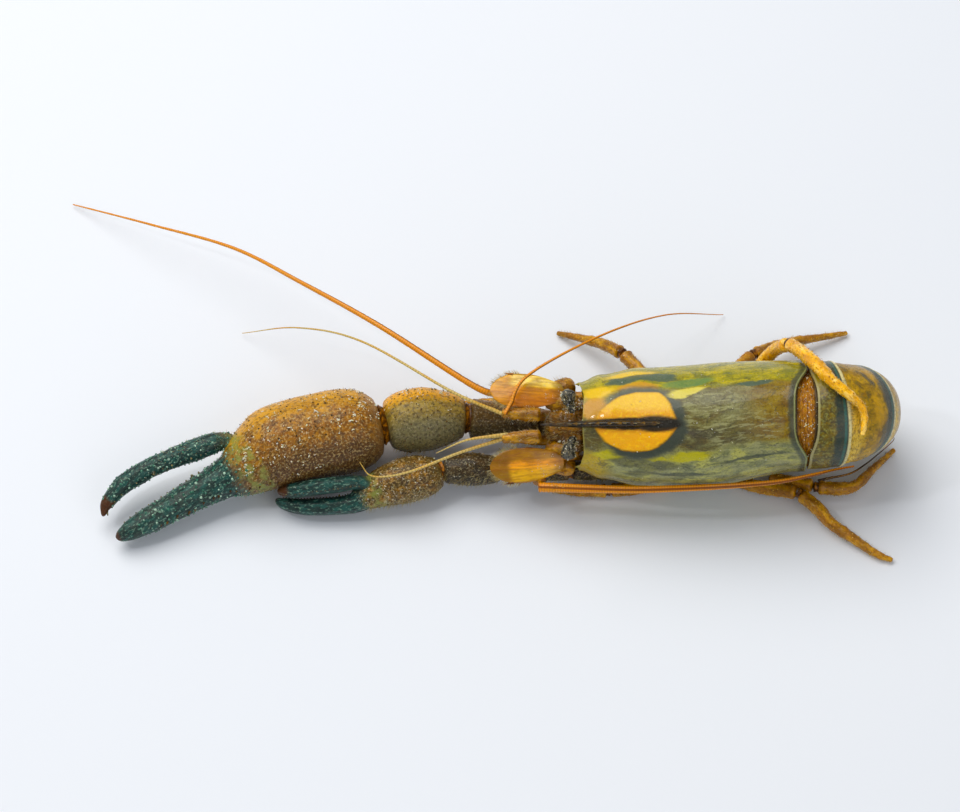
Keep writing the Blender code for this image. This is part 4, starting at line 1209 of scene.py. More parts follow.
# The swimming legs' look has the second place in their segment's list.
PADDLE = SPINE
PADDLE_FLAT = 0.26
PADDLE_FACES = (0.6, 1.0, 0.4)
PADDLE_HAIRS = 26
PADDLE_WIDTHS = ((0.0, 0.8), (0.3, 1.3), (0.65, 1.3), (1.0, 0.4))
PADDLE_SPREADS = (-1.1, 1.5)
SWIMMING_LEG_SPREAD = 4.6
SWIMMING_LEGS = {
    # Segment: where its pair is rooted, bends and ends, as (x, z) in the body's middle plane.
    1: ((0.2, 2.5), (-2.0, -2.6), (-4.6, -6.4)),
    2: ((1.9, 2.0), (-0.4, -3.8), (-4.4, -7.6)),
    3: ((3.3, 0.3), (0.9, -4.6), (-4.0, -8.6)),
    4: ((4.5, -2.9), (1.4, -5.8), (-3.4, -9.2)),
    5: ((4.1, -6.0), (1.0, -7.4), (-3.0, -9.8)),
}


def set_paddle(bm, knee, tip):
    """A flat leaf from the stem's end to its tip, with a fringe of hairs along both edges."""
    stations = [(*knee.lerp(tip, share), width) for share, width in PADDLE_WIDTHS]
    paddle = Limb(stations, PADDLE_FLAT, 2.2, 4, PADDLE_FACES)
    lay_limb(bm, paddle, 20, PADDLE, lambda at, angle: 0.1 * sin(5 * at))
    for i in range(PADDLE_HAIRS):
        place, out, ahead = paddle.spot(paddle.length * (0.3 + 0.7 * i / PADDLE_HAIRS), pi * (i % 2))
        set_spike(place, (out + 0.9 * ahead).normalized(), 0.05, 1.1 + 0.3 * sin(5 * i), HAIR, 3)


def set_swimming_legs(bm, root, knee, tip):
    """A pair of swimming legs from their (x, z) points in the body's middle plane."""
    for side in SIDE_NAMES:
        y = TAIL_SWAY[1][1] + SWIMMING_LEG_SPREAD * side
        top = Vector((root[0], y, root[1]))
        bend = Vector((knee[0], y + 0.6 * side, knee[1]))
        stem = Limb([(*top, 1.2), (*top.lerp(bend, 0.5), 1.7), (*bend, 1.2)], 0.45, 2.4, 4, PADDLE_FACES)
        lay_limb(bm, stem, 24, PADDLE)
        for spread in PADDLE_SPREADS:
            end = Vector((tip[0], y + (0.6 + spread) * side, tip[1]))
            set_paddle(bm, bend + Vector((0, 0.4 * spread * side, 0)), end)


def make_tail():
    for number, (start, length) in enumerate(zip(SEGMENT_STARTS, SEGMENT_LENGTHS), 1):
        bm = bmesh.new()
        lay_skin(bm, *segment_rings(number, start, length), SHELL)
        looks = [TAIL_LOOK]
        if number in SWIMMING_LEGS:
            set_swimming_legs(bm, *SWIMMING_LEGS[number])
            looks += [PLATE_LOOK, BRISTLE]
        finish_piece(bm, f"dressed_tail_{number}", BODY, looks, [f"abdomen_segment_{number}"])


make_tail()
print("tail triangles:", sum(count for name, count in tally.items() if "tail" in name))

# %% [markdown]
# ## The tail fan
# The telson and its four leaves are thin blades. Each is a flattened sweep with a raised
# midrib and a fringe of bristles round its end. They lie folded under the body.

# %% Tail fan
TELSON_HALF_WIDTH = 4.6
TELSON_THICKNESS = 1.7
LEAF_THICKNESS = 1.0
INNER_LEAF_HALF_WIDTH = 0.85 * TELSON_HALF_WIDTH
OUTER_LEAF_HALF_WIDTH = 0.93 * TELSON_HALF_WIDTH
BLADE_SHARES = (0.45, 0.92, 0.8)


def blade(points, half_width, thickness, up=(0, 0, 1), tip_end=1.0):
    """A thin rounded blade through three points."""
    stations = [(*point, half_width * share) for point, share in zip(points, BLADE_SHARES)]
    flat = 0.5 * thickness / (half_width * BLADE_SHARES[1])
    return Limb(stations, flat, 2.4, 14, up, root_end=0.6, tip_end=tip_end)


def set_fringe(limb, start, count, length):
    """Bristles round a blade's edge, from start of its length to its tip."""
    for i in range(count):
        at = limb.length * (start + (1 - start) * chance.random())
        angle = 0.0 if i % 2 else pi
        place, out, ahead = limb.spot(at, angle)
        towards_tip = value_at(((0.8, 0.7), (1.0, 3.0)), at / limb.length)
        direction = (out + ahead * towards_tip).normalized()
        set_spike(place, direction, 0.06, length * chance.uniform(0.5, 1.2), HAIR, 3)


def make_leaf(name, points, half_width, thickness, node):
    leaf = blade(points, half_width, thickness)
    bm = skin_of(leaf, 32, lambda at, angle: 0.12 * exp(-((cos(angle) / 0.12) ** 2)))
    set_fringe(leaf, 0.5, 90, 2.0)
    finish_piece(bm, name, LAYOUT, [TAIL_LOOK, BUMP, BRISTLE], [node])


def make_tail_fan():
    middle = TAIL_ROOT + Vector((-TAIL_FAN_LENGTH / 2, 0, 0))
    tip = TAIL_ROOT + Vector((-TAIL_FAN_LENGTH, 0, 0))
    make_leaf("dressed_telson", [TAIL_ROOT, middle, tip], TELSON_HALF_WIDTH, TELSON_THICKNESS, "telson")
    for side, word in SIDE_NAMES.items():
        inner = [
            TAIL_ROOT + Vector((0, 3.8 * side, 1.7)),
            middle + Vector((1, 5.2 * side, 1.7)),
            tip + Vector((0, 6.2 * side, 1.6)),
        ]
        outer = [
            TAIL_ROOT + Vector((0, 5.6 * side, 2.9)),
            middle + Vector((1, 8.4 * side, 2.9)),
            tip + Vector((2, 10.6 * side, 2.8)),
        ]
        for place, points, half_width in (
            ("inner", inner, INNER_LEAF_HALF_WIDTH),
            ("outer", outer, OUTER_LEAF_HALF_WIDTH),
        ):
            make_leaf(f"{place}_leaf_{word}", points, half_width, LEAF_THICKNESS, f"uropod_{place}_{word}")


make_tail_fan()
print("tail fan made, telson triangles:", tally["dressed_telson"])

# %% [markdown]
# ## The underside
# A narrow plate closes the body between the legs, with a low ridge for each pair of legs.

# %% Underside plate


def make_underside():
    stations = [(-45, 0, -13.0, 5.5), (-36, 0, -13.5, 7.5), (-26, 0, -13.4, 6.0)]
    plate = Limb(stations, flat=0.18, power=2.6, steps=14)
    bm = skin_of(plate, 36, lambda at, angle: 0.25 * sin(2 * pi * at / 4.5) ** 8)
    finish_piece(bm, "dressed_underside", BODY, [PLATE_LOOK], ["thorax_underside"])


make_underside()
print("underside plate triangles:", tally["dressed_underside"])

# %% [markdown]
# ## The head
# Between the eyes the head carries two pairs of feelers on jointed stems. The outer pair
# grows from a knob, beside a broad thin scale that the prawn steers with. Bristles fringe
# the scales, surround the eyes and stand on the stems.

# %% Head pieces


def set_bristles(limb, start, end, count, angle, spread, length, lean=0.6, thick=0.06):
    """Bristles on a stretch of a limb (from start to end, in shares), about an angle round it."""
    for _ in range(count):
        at = limb.length * chance.uniform(start, end)
        place, out, ahead = limb.spot(at, angle + chance.gauss(0, spread))
        direction = out + ahead * lean + Vector([chance.gauss(0, 0.18) for _ in range(3)])
        set_spike(place, direction.normalized(), thick, length * chance.uniform(0.5, 1.2), HAIR, 3)


def set_frost(limb, share, angle, reach, clusters, size=0.2):
    """Clusters of frost crumbs on a patch of a limb about reach mm across."""
    for _ in range(clusters):
        at = limb.length * share + chance.gauss(0, reach / 2)
        wide = max(limb.half_width(limb.length * share), 1.0)
        turn = angle + chance.gauss(0, reach / 2) / wide
        for _ in range(chance.randint(1, 5)):
            spread = chance.gauss(0, 0.4)
            place, out, _ = limb.spot(at + spread, turn + chance.gauss(0, 0.4) / wide)
            set_grain(place + out * 0.03, size * chance.uniform(0.25, 1.0) ** 2, ICE)


def joint_relief(spots, height, width=0.9):
    """A relief that swells a limb in a ring at each of the spots, given in mm along it."""
    return lambda at, angle: height * sum(exp(-(((at - spot) / width) ** 2)) for spot in spots)


def make_head_core():
    stations = [(-60.5, 0, 3.2, 7.0), (-65.9, 0, 3.2, 7.2), (-70, 0, 3.0, 5.4), (-75, 0, 2.2, 3.0)]
    core = Limb(stations, 0.78, 2.4, 10)
    bm = skin_of(core, 40, lambda at, angle: 0.5 * sin(at * 1.7) * cos(3 * angle) + 0.2 * sin(4.1 * at))
    set_bristles(core, 0.25, 0.98, 340, pi / 2, 0.8, 2.2)
    for angle in (0.6, pi - 0.6):
        set_frost(core, 0.45, angle, 6.0, 60, 0.32)
    finish_piece(bm, "dressed_head", BODY, [HEAD_LOOK, BUMP, BRISTLE, FROST], ["head_core"])


def make_eye(side, word):
    """A short stalk that swells into the glossy round eye."""
    stations = [
        (-67.4, 3.2 * side, 11.6, 1.0),
        (-68.2, 5.2 * side, 12.0, 1.2),
        (-68.6, 6.4 * side, 12.1, 1.7),
        (-68.9, 8.2 * side, 12.2, 2.0),
        (-69.0, 9.4 * side, 12.2, 1.3),
    ]
    eye = Limb(stations, steps=8)
    bm = skin_of(eye, 28, joint_relief((3.2,), 0.12, 0.4))
    set_bristles(eye, 0.1, 0.8, 90, pi / 2, 1.4, 1.3)
    set_frost(eye, 0.5, pi / 2, 4.0, 36, 0.3)
    finish_piece(bm, f"dressed_eye_{word}", BODY, [EYE, BUMP, BRISTLE, FROST], [f"eye_{word}"])


def make_antennule_stem(side, word):
    stations = [
        (-75.9, 2.9 * side, 7.6, 1.7),
        (-79.0, 3.0 * side, 7.2, 1.9),
        (-82.0, 3.1 * side, 6.9, 1.6),
        (-86.5, 3.4 * side, 6.4, 1.3),
    ]
    stem = Limb(stations, steps=14)
    bm = skin_of(stem, 24, joint_relief((0.6, 4.2, 7.4, 10.4), 0.16, 0.5))
    set_bristles(stem, 0.05, 0.98, 110, pi / 2, 1.5, 1.6)
    set_frost(stem, 0.5, pi / 2, 5.0, 12, 0.16)
    looks = [STEM_LOOK, BUMP, BRISTLE, FROST]
    finish_piece(bm, f"dressed_stem_{word}", BODY, looks, [f"antennule_stem_{word}"])


def make_knob(side, word):
    stations = [
        (-66.6, 10.6 * side, 0.8, 2.2),
        (-69.5, 10.4 * side, 0.6, 2.8),
        (-73, 10.0 * side, 0.7, 2.0),
    ]
    knob = Limb(stations, steps=12)
    bm = skin_of(knob, 28, joint_relief((2.4, 6.0), 0.15, 0.5))
    inner = [(-65.6, 6.2 * side, 2.6, 2.6), (-70.5, 6.4 * side, 3.2, 2.8), (-75.0, 6.4 * side, 3.4, 1.5)]
    lay_limb(bm, Limb(inner, steps=10), 24, SHELL, joint_relief((3.0, 7.0), 0.2, 0.5))
    set_bristles(knob, 0.3, 0.95, 40, 0.6, 1.2, 1.4)
    looks = [STEM_LOOK, BUMP, BRISTLE]
    finish_piece(bm, f"dressed_knob_{word}", BODY, looks, [f"antenna_knob_{word}"])


def make_scale(side, word, look):
    """A broad thin scale with a thick outer edge that ends in a spine, and a fringe."""
    root_y, tip_y = (-9.4, -11.2) if side == LEFT else (8.7, 9.8)
    points = [(-69.8, root_y, 5.0), (-79, 0.5 * (root_y + tip_y), 5.0), (-89.6, tip_y, 4.3)]
    scale = blade(points, 5.1, 1.2, (0, 0.25 * side, 1), 1.5)
    outer = 0.0 if side == RIGHT else pi
    bm = skin_of(scale, 48, lambda at, angle: 0.12 * exp(-(((angle - outer) / 0.1) ** 2)))
    set_fringe(scale, 0.6, 220, 1.8)
    place, out, ahead = scale.spot(0.72 * scale.length, outer)
    set_spike(place, (ahead + 0.15 * out).normalized(), 0.5, 2.6, HINGE)
    set_frost(scale, 0.25, pi / 2, 5.0, 16, 0.16)
    looks = [look, BUMP, BRISTLE, FROST, JOINT_SKIN]
    finish_piece(bm, f"dressed_scale_{word}", BODY, looks, [f"antenna_scale_{word}"])


def make_mouth_leg(side, word):
    stations = [
        (-62, 3.6 * side, -9.2, 1.1),
        (-71, 3.4 * side, -6.8, 1.5),
        (-79, 3.2 * side, -5.0, 1.3),
        (-86, 3.0 * side, -3.4, 0.5),
    ]
    leg = Limb(stations, steps=10)
    bm = skin_of(leg, 20, joint_relief((8.0, 16.5), 0.2, 0.8))
    set_bristles(leg, 0.2, 0.98, 120, -pi / 2, 1.6, 2.2)
    looks = [LEG_LOOK, BUMP, BRISTLE]
    finish_piece(bm, f"mouth_leg_{word}", BODY, looks, [f"maxilliped_{word}"])


make_head_core()
for side, word in SIDE_NAMES.items():
    make_eye(side, word)
    make_antennule_stem(side, word)
    make_knob(side, word)
    make_scale(side, word, FAR_SCALE_LOOK if side == RIGHT else NEAR_SCALE_LOOK)
    make_mouth_leg(side, word)
in_head = [name for name in tally if "scale" in name or "stem" in name or "eye" in name]
print("scale, stem and eye triangles:", sum(tally[name] for name in in_head))

# %% [markdown]
# ## The feelers
# A feeler is a whip of hundreds of short joints. Each joint is a little wider at one end, so
# the whip looks ringed. The rings are in the mesh, so they also show in the outline.

# %% Feelers
JOINT_LENGTH = 0.8
ANTENNA_RADIUS = 1.1
ANTENNULE_RADIUS = 0.55
WHISKER_RADIUS = 0.35
SEEN_FROM_DEG = 60.0
GROOVE_WIDTH_DEG = 14.0
WHIP_STEPS = 64
WHIP_SIDES = 8
GROOVED_SIDES = 16
RING_STEP = 0.06


def ring_relief(radius, groove):
    """Each joint of a whip is wider at one end, and a groove of that depth may run along it."""

    def relief(at, angle):
        off = (degrees(angle) - SEEN_FROM_DEG + 180) % 360 - 180
        ring = RING_STEP * radius * ((at / JOINT_LENGTH) % 1.0)
        return -ring - groove * exp(-((off / GROOVE_WIDTH_DEG) ** 2))

    return relief


def make_whip(name, points, radius, base, node, look, groove=0.0):
    last = len(points) - 1
    stations = [(*point, radius * (1 - 0.8 * i / last)) for i, point in enumerate(points)]
    whip = Limb(stations, steps=WHIP_STEPS)
    bm = skin_of(whip, GROOVED_SIDES if groove else WHIP_SIDES, ring_relief(radius, groove))
    lay_hinge(bm, whip, 2.2, SHELL, 1.0)
    set_bristles(whip, 0.0, base, 30, pi / 2, 1.5, 0.9)
    finish_piece(bm, name, LAYOUT, [look, BUMP, BRISTLE], [node])


def make_antenna_stem(word, stations):
    stem = Limb(stations, steps=12)
    bm = skin_of(stem, 24, joint_relief((2.5, 6.0), 0.18, 0.6))
    set_bristles(stem, 0.1, 0.9, 30, pi / 2, 1.5, 1.2)
    looks = [STEM_LOOK, BUMP, BRISTLE]
    finish_piece(bm, f"whip_stem_{word}", LAYOUT, looks, [f"antenna_stem_{word}"])


STEM_LEFT = [
    (*in_body(-73.6, -9.8, 0.6), 1.5),
    (*in_body(-76.8, -11.2, 0.2), 1.9),
    (-76.2, -16.7, 13.4, 1.8),
]
STEM_RIGHT = [
    (*in_body(-73.6, 9.6, 0.6), 1.5),
    (*in_body(-79.0, 9.4, 0.2), 1.9),
    (*in_body(-86.0, 9.0, 0.4), 1.2),
]
FOLDED_BACK = [
    (-74.5, -17.9, 13.8),
    (-63.1, -18.7, 14.5),
    (-50.0, -19.8, 16.0),
    (-34.3, -20.3, 18.0),
    in_body(-22.4, -15.9, 7.6),
    in_body(-12.0, -14.9, 7.6),
    in_body(-4.0, -13.3, 8.0),
    in_body(2.0, -11.9, 8.4),
    in_body(7.6, -10.9, 8.2),
]
WHISKER = [
    (1.0, -10.9, 5.9),
    (7.6, -9.1, 5.6),
    (11.9, -5.8, 4.7),
    (16.6, -0.9, 3.2),
    (20.1, 3.0, 2.4),
    (20.2, 4.6, 2.2),
]
SWEPT_FORWARD = [
    in_body(-86.7, 8.9, 0.5),
    (-94.0, 7.4, 24.4),
    (-119.3, 25.1, 26.0),
    (-141.2, 41.5, 22.0),
    (-160.0, 56.1, 16.0),
    (-183.4, 68.1, 9.0),
    (-206.4, 80.0, 0.8),
]
SHORT_FEELERS = {
    "antennule_left_long": [
        in_body(-87.2, -3.8, 6.0),
        (-98.0, -10.6, 19.6),
        (-112.0, -15.4, 17.4),
        (-121.0, -16.0, 16.6),
        (-124.5, -12.8, 18.4),
    ],
    "antennule_left_short": [in_body(-87.0, -2.6, 7.0), (-96.0, -8.4, 22.6), (-104.0, -12.0, 22.0)],
    "antennule_right_long": [
        in_body(-87.2, 3.6, 6.6),
        (-100.0, 4.2, 27.0),
        (-124.0, 21.4, 24.0),
        (-142.0, 33.0, 12.0),
        (-158.0, 38.0, 0.7),
    ],
    "antennule_right_back": [
        in_body(-84.6, 4.9, 8.6),
        (-79.5, 7.0, 30.6),
        (-60.5, 20.0, 29.0),
        (-42.0, 34.0, 17.0),
        (-25.0, 44.0, 0.7),
    ],
}

make_antenna_stem("left", STEM_LEFT)
make_antenna_stem("right", STEM_RIGHT)
make_whip("whip_left", FOLDED_BACK, 1.2 * ANTENNA_RADIUS, 0.06, "antenna_left", ANTENNA_LOOK, 0.3)
make_whip("whip_right", SWEPT_FORWARD, ANTENNA_RADIUS, 0.06, "antenna_right", ANTENNA_LOOK)
make_whip("whisker_left", WHISKER, WHISKER_RADIUS, 0.0, "antennule_left_back", WHISKER_LOOK)
for node, points in SHORT_FEELERS.items():
    look = ANTENNA_LOOK if node == "antennule_right_back" else ANTENNULE_LOOK
    make_whip(f"dressed_{node}", points, ANTENNULE_RADIUS, 0.2, node, look)
print("feeler triangles:", sum(tally[name] for name in tally if "whip" in name or "antennule" in name))

# %% [markdown]
# ## The claws
# Each claw has an arm of three pieces, a palm whose end is the fixed finger, and a finger
# that moves. Small dark bumps stand all over the big one in uneven rows, spines run along
# its near edge and teeth along its biting edges. Bristles and frost cling to both.

# %% Claw surfaces
BUMP_SPACING = 2.0


def set_bumps(limb, start, end, spacing, finish, size, missing=0.2):
    """Bumps in uneven rows on a stretch of a limb, given in mm along it."""
    at = start
    while at < end:
        girth = pi * limb.half_width(at) * (1 + limb.flat)
        count = max(int(girth / spacing), 3)
        turn = chance.random()
        for i in range(count):
            if chance.random() < missing:
                continue
            angle = 2 * pi * (i + turn + chance.uniform(-0.3, 0.3)) / count
            place, out, ahead = limb.spot(at + chance.uniform(-0.4, 0.4) * spacing, angle)
            bulk = size * chance.uniform(0.55, 1.15)
            set_spike(place, (out + 0.5 * ahead).normalized(), bulk, 0.9 * bulk, finish, 6, 0.4 * bulk)
        at += spacing


def set_teeth(limb, start, end, count, angle, size, big_at):
    """Teeth along a finger's biting edge, one of them bigger than the rest."""
    for i in range(count):
        share = start + (end - start) * i / (count - 1)
        place, out, ahead = limb.spot(limb.length * share, angle)
        bulk = size * (1.8 if i == big_at else 1 - 0.3 * i / count)
        set_spike(place, out, bulk, 1.3 * bulk, TOOTH_EDGE, 8, 0.3 * bulk)


def set_spines(limb, start, end, count, angle, size, finish):
    """A row of thorns that point ahead, along an edge of a limb."""
    for i in range(count):
        share = start + (end - start) * (i + chance.uniform(-0.3, 0.3)) / count
        place, out, ahead = limb.spot(limb.length * share, angle + chance.gauss(0, 0.06))
        bulk = size * chance.uniform(0.7, 1.2)
        set_spike(place, (out + 0.8 * ahead).normalized(), bulk, 2.6 * bulk, finish, 6)


def set_hook(limb, angle):
    """The dark horny hook at a finger's end, which leans to one side."""
    place, out, ahead = limb.spot(0.96 * limb.length, angle)
    set_spike(place - 0.5 * out, (0.5 * out + ahead).normalized(), 0.55, 1.7, TOOTH_EDGE, 8, 0.1)


def uneven(height, size):
    """A relief of low swellings, about size mm across."""

    def relief(at, angle):
        wave = sin(at / size) * cos(3 * angle + at / (2 * size))
        return height * (wave + 0.6 * sin(2.3 * at / size))

    return relief


BIG_PALM_HALF_WIDTH = 12.1
SMALL_PALM_HALF_WIDTH = 6.2
BIG_CLAW = {
    "ischium": [(-48.5, 5.2, 6.0, 0.24), (-58, 5.0, 6.4, 0.28), (-68.4, 4.6, 7.2, 0.3)],
    "merus": [(-69.1, 4.6, 7.3, 0.305), (-82, 5.2, 8.9, 0.39), (-95.4, 5.2, 10.6, 0.445)],
    "carpus": [
        (-96.1, 5.2, 10.8, 0.41),
        (-101.0, 5.0, 11.3, 0.595),
        (-107.0, 4.4, 11.6, 0.71),
        (-113.0, 3.4, 11.9, 0.685),
        (-118.0, 2.2, 12.0, 0.51),
    ],
    "palm": [
        (-118.8, 2.4, 12.0, 0.54),
        (-123.5, 1.4, 11.9, 0.85),
        (-130.0, 0.3, 11.9, 0.95),
        (-144.5, -3.2, 11.5, 0.945),
        (-150.8, -6.2, 10.7, 0.86),
        (-156.8, -10.2, 9.4, 0.62),
        (-163.0, -13.2, 8.1, 0.41),
        (-177.6, -21.4, 6.0, 0.305),
        (-185.0, -25.6, 5.1, 0.25),
        (-190.0, -28.2, 4.4, 0.09),
    ],
    "dactylus": [
        (-161.3, -3.2, 13.2, 0.2),
        (-167.0, -5.1, 13.0, 0.25),
        (-177.7, -8.8, 11.4, 0.22),
        (-183.4, -11.5, 10.4, 0.225),
        (-188.6, -14.9, 9.2, 0.21),
        (-192.6, -19.4, 7.4, 0.14),
        (-193.6, -22.6, 6.2, 0.04),
    ],
}
SMALL_CLAW = {
    "ischium": [(-49, -6.6, 3.2, 0.32), (-58, -7.4, 4.0, 0.38), (-67.4, -8.0, 5.6, 0.43)],
    "merus": [(-68.1, -8.1, 5.8, 0.44), (-77, -8.6, 7.0, 0.52), (-85.8, -8.9, 7.6, 0.55)],
    "carpus": [
        (-86.5, -8.9, 7.6, 0.5),
        (-90.5, -9.0, 7.8, 0.66),
        (-96.0, -9.0, 7.9, 0.72),
        (-102.2, -9.2, 7.9, 0.56),
    ],
    "palm": [
        (-102.9, -9.4, 7.8, 0.6),
        (-106.8, -10.8, 7.6, 0.9),
        (-112.0, -12.0, 7.4, 1.0),
        (-118.0, -13.9, 7.0, 0.87),
        (-123.0, -16.2, 6.2, 0.64),
        (-127.6, -18.3, 5.2, 0.42),
        (-138.7, -18.8, 4.6, 0.36),
        (-144.7, -17.8, 4.4, 0.27),
        (-147.4, -16.4, 4.3, 0.1),
    ],
    "dactylus": [
        (-125.4, -14.6, 10.6, 0.3),
        (-130.4, -15.2, 10.6, 0.35),
        (-138.0, -16.1, 10.2, 0.35),
        (-143.4, -16.4, 9.0, 0.3),
        (-146.8, -15.6, 7.6, 0.12),
    ],
}

print("bumps stand about", BUMP_SPACING, "mm apart")

# %% [markdown]
# ## The big claw
# The palm is the widest piece. On the fingers the bumps stand closer and turn into blue green
# granules, and each finger ends in a smooth brown hook.

# %% Big claw


def claw_limb(stations, palm_half_width, tip_end=0.2):
    sized = [(x, y, z, share * palm_half_width) for x, y, z, share in stations]
    return Limb(sized, steps=9, root_end=0.2, tip_end=tip_end)


def finish_claw(bm, name, look, node):
    looks = [look, BUMP, BRISTLE, FROST, JOINT_SKIN, GRANULE, TOOTH]
    finish_piece(bm, name, LAYOUT, looks, [node])


def make_big_arm():
    parts = (("ischium", 2.4, ARM_LOOK), ("merus", 2.2, ARM_LOOK), ("carpus", 2.0, WRIST_LOOK))
    for part, spacing, look in parts:
        limb = claw_limb(BIG_CLAW[part], BIG_PALM_HALF_WIDTH)
        bm = skin_of(limb, 48, uneven(0.12, 3.0))
        lay_hinge(bm, limb, 1.6, HINGE, 0.82)
        set_bumps(limb, 1.5, limb.length - 1.0, spacing, SPINE, 0.3, 0.3)
        set_bristles(limb, 0.05, 0.95, 160, -2.4, 0.7, 1.6)
        set_bristles(limb, 0.0, 1.0, 120, 1.2, 1.0, 1.1)
        set_frost(limb, 0.5, 0.8, 9.0, 45, 0.3)
        finish_claw(bm, f"big_{part}", look, f"claw_right_{part}")


def make_big_palm():
    limb = claw_limb(BIG_CLAW["palm"], BIG_PALM_HALF_WIDTH, 1.2)
    bm = skin_of(limb, 72, uneven(0.15, 3.4))
    lay_hinge(bm, limb, 1.6, HINGE, 0.82)
    finger_start = 0.5 * limb.length
    set_bumps(limb, 2.0, finger_start, BUMP_SPACING, SPINE, 0.3, 0.35)
    set_bumps(limb, finger_start, 0.92 * limb.length, 1.4, GRAIN, 0.42, 0.35)
    set_hook(limb, -0.9)
    set_teeth(limb, 0.62, 0.95, 14, 0.5, 0.42, 2)
    set_spines(limb, 0.1, 0.88, 24, 2.9, 0.42, SPINE)
    set_bristles(limb, 0.02, 0.55, 260, 2.7, 0.5, 1.5)
    set_bristles(limb, 0.0, 0.5, 200, 1.2, 0.9, 1.0)
    patches = ((0.06, 1.4, 8.0, 60), (0.26, 1.6, 15.0, 70), (0.44, 1.9, 8.0, 60))
    for share, angle, reach, clusters in patches:
        set_frost(limb, share, angle, reach, clusters, 0.4)
    finish_claw(bm, "big_palm", BIG_CLAW_LOOK, "claw_right_palm")


def make_big_finger():
    limb = claw_limb([(-158.4, -5.0, 11.6, 0.26)] + BIG_CLAW["dactylus"], BIG_PALM_HALF_WIDTH, 1.2)
    bm = skin_of(limb, 40, uneven(0.08, 2.0))
    set_bumps(limb, 2.5, 0.92 * limb.length, 1.4, GRAIN, 0.42, 0.35)
    set_hook(limb, pi)
    set_teeth(limb, 0.25, 0.88, 11, pi - 0.4, 0.36, 5)
    set_bristles(limb, 0.02, 0.5, 90, 1.2, 0.8, 1.1)
    set_frost(limb, 0.25, 1.2, 12.0, 40, 0.16)
    finish_claw(bm, "big_finger", BIG_FINGER_LOOK, "claw_right_dactylus")


make_big_arm()
make_big_palm()
make_big_finger()
print("big claw triangles:", sum(count for name, count in tally.items() if name.startswith("big_")))

# %% [markdown]
# ## The small claw
# The other claw is slender and smoother. Its fingers have ridges that run along them, and a
# thick beard of frosted bristles hangs from its lower edge.

# %% Small claw


def ridged(height, count):
    """A relief of ridges that run along a limb."""
    return lambda at, angle: height * cos(count * angle)


def make_small_arm():
    for part in ("ischium", "merus", "carpus"):
        limb = claw_limb(SMALL_CLAW[part], SMALL_PALM_HALF_WIDTH)
        bm = skin_of(limb, 36, uneven(0.07, 2.4))
        lay_hinge(bm, limb, 1.2, HINGE)
        set_bumps(limb, 1.5, limb.length - 1.0, 1.5, SPINE, 0.24)
        set_bristles(limb, 0.05, 0.98, 220, 2.7, 0.6, 1.5)
        set_frost(limb, 0.5, 1.6, 10.0, 30, 0.22)
        finish_claw(bm, f"small_{part}", SMALL_ARM_LOOK, f"claw_left_{part}")


def make_small_palm():
    limb = claw_limb(SMALL_CLAW["palm"], SMALL_PALM_HALF_WIDTH, 1.2)
    bm = skin_of(limb, 48, ridged(0.05, 7))
    lay_hinge(bm, limb, 1.2, HINGE)
    set_bumps(limb, 1.5, 0.45 * limb.length, 1.4, SPINE, 0.22)
    set_teeth(limb, 0.56, 0.96, 22, 0.4, 0.26, 3)
    set_bristles(limb, 0.02, 0.5, 420, 2.7, 0.6, 1.7)
    set_bristles(limb, 0.0, 0.45, 160, 1.3, 0.9, 0.9)
    for share in (0.06, 0.2, 0.34):
        set_frost(limb, share, 2.4, 9.0, 75, 0.22)
    finish_claw(bm, "small_palm", SMALL_CLAW_LOOK, "claw_left_palm")


def make_small_finger():
    limb = claw_limb([(-121.6, -14.6, 9.0, 0.34)] + SMALL_CLAW["dactylus"], SMALL_PALM_HALF_WIDTH, 1.2)
    bm = skin_of(limb, 40, ridged(0.07, 8))
    set_teeth(limb, 0.1, 0.92, 20, pi - 0.5, 0.24, 3)
    set_bristles(limb, 0.0, 0.2, 30, 1.2, 0.8, 0.8)
    finish_claw(bm, "small_finger", SMALL_FINGER_LOOK, "claw_left_dactylus")


make_small_arm()
make_small_palm()
make_small_finger()
print("small claw triangles:", sum(count for name, count in tally.items() if name.startswith("small_")))

# %% [markdown]
# ## The legs
# A leg swells a little at its joints and ends in a point. Its outer part has more bristles
# than its upper part. The raised leg lies over the tail and is the roughest; its chitin is
# painted brighter than the other legs', as painted light where it rises into the lamps.

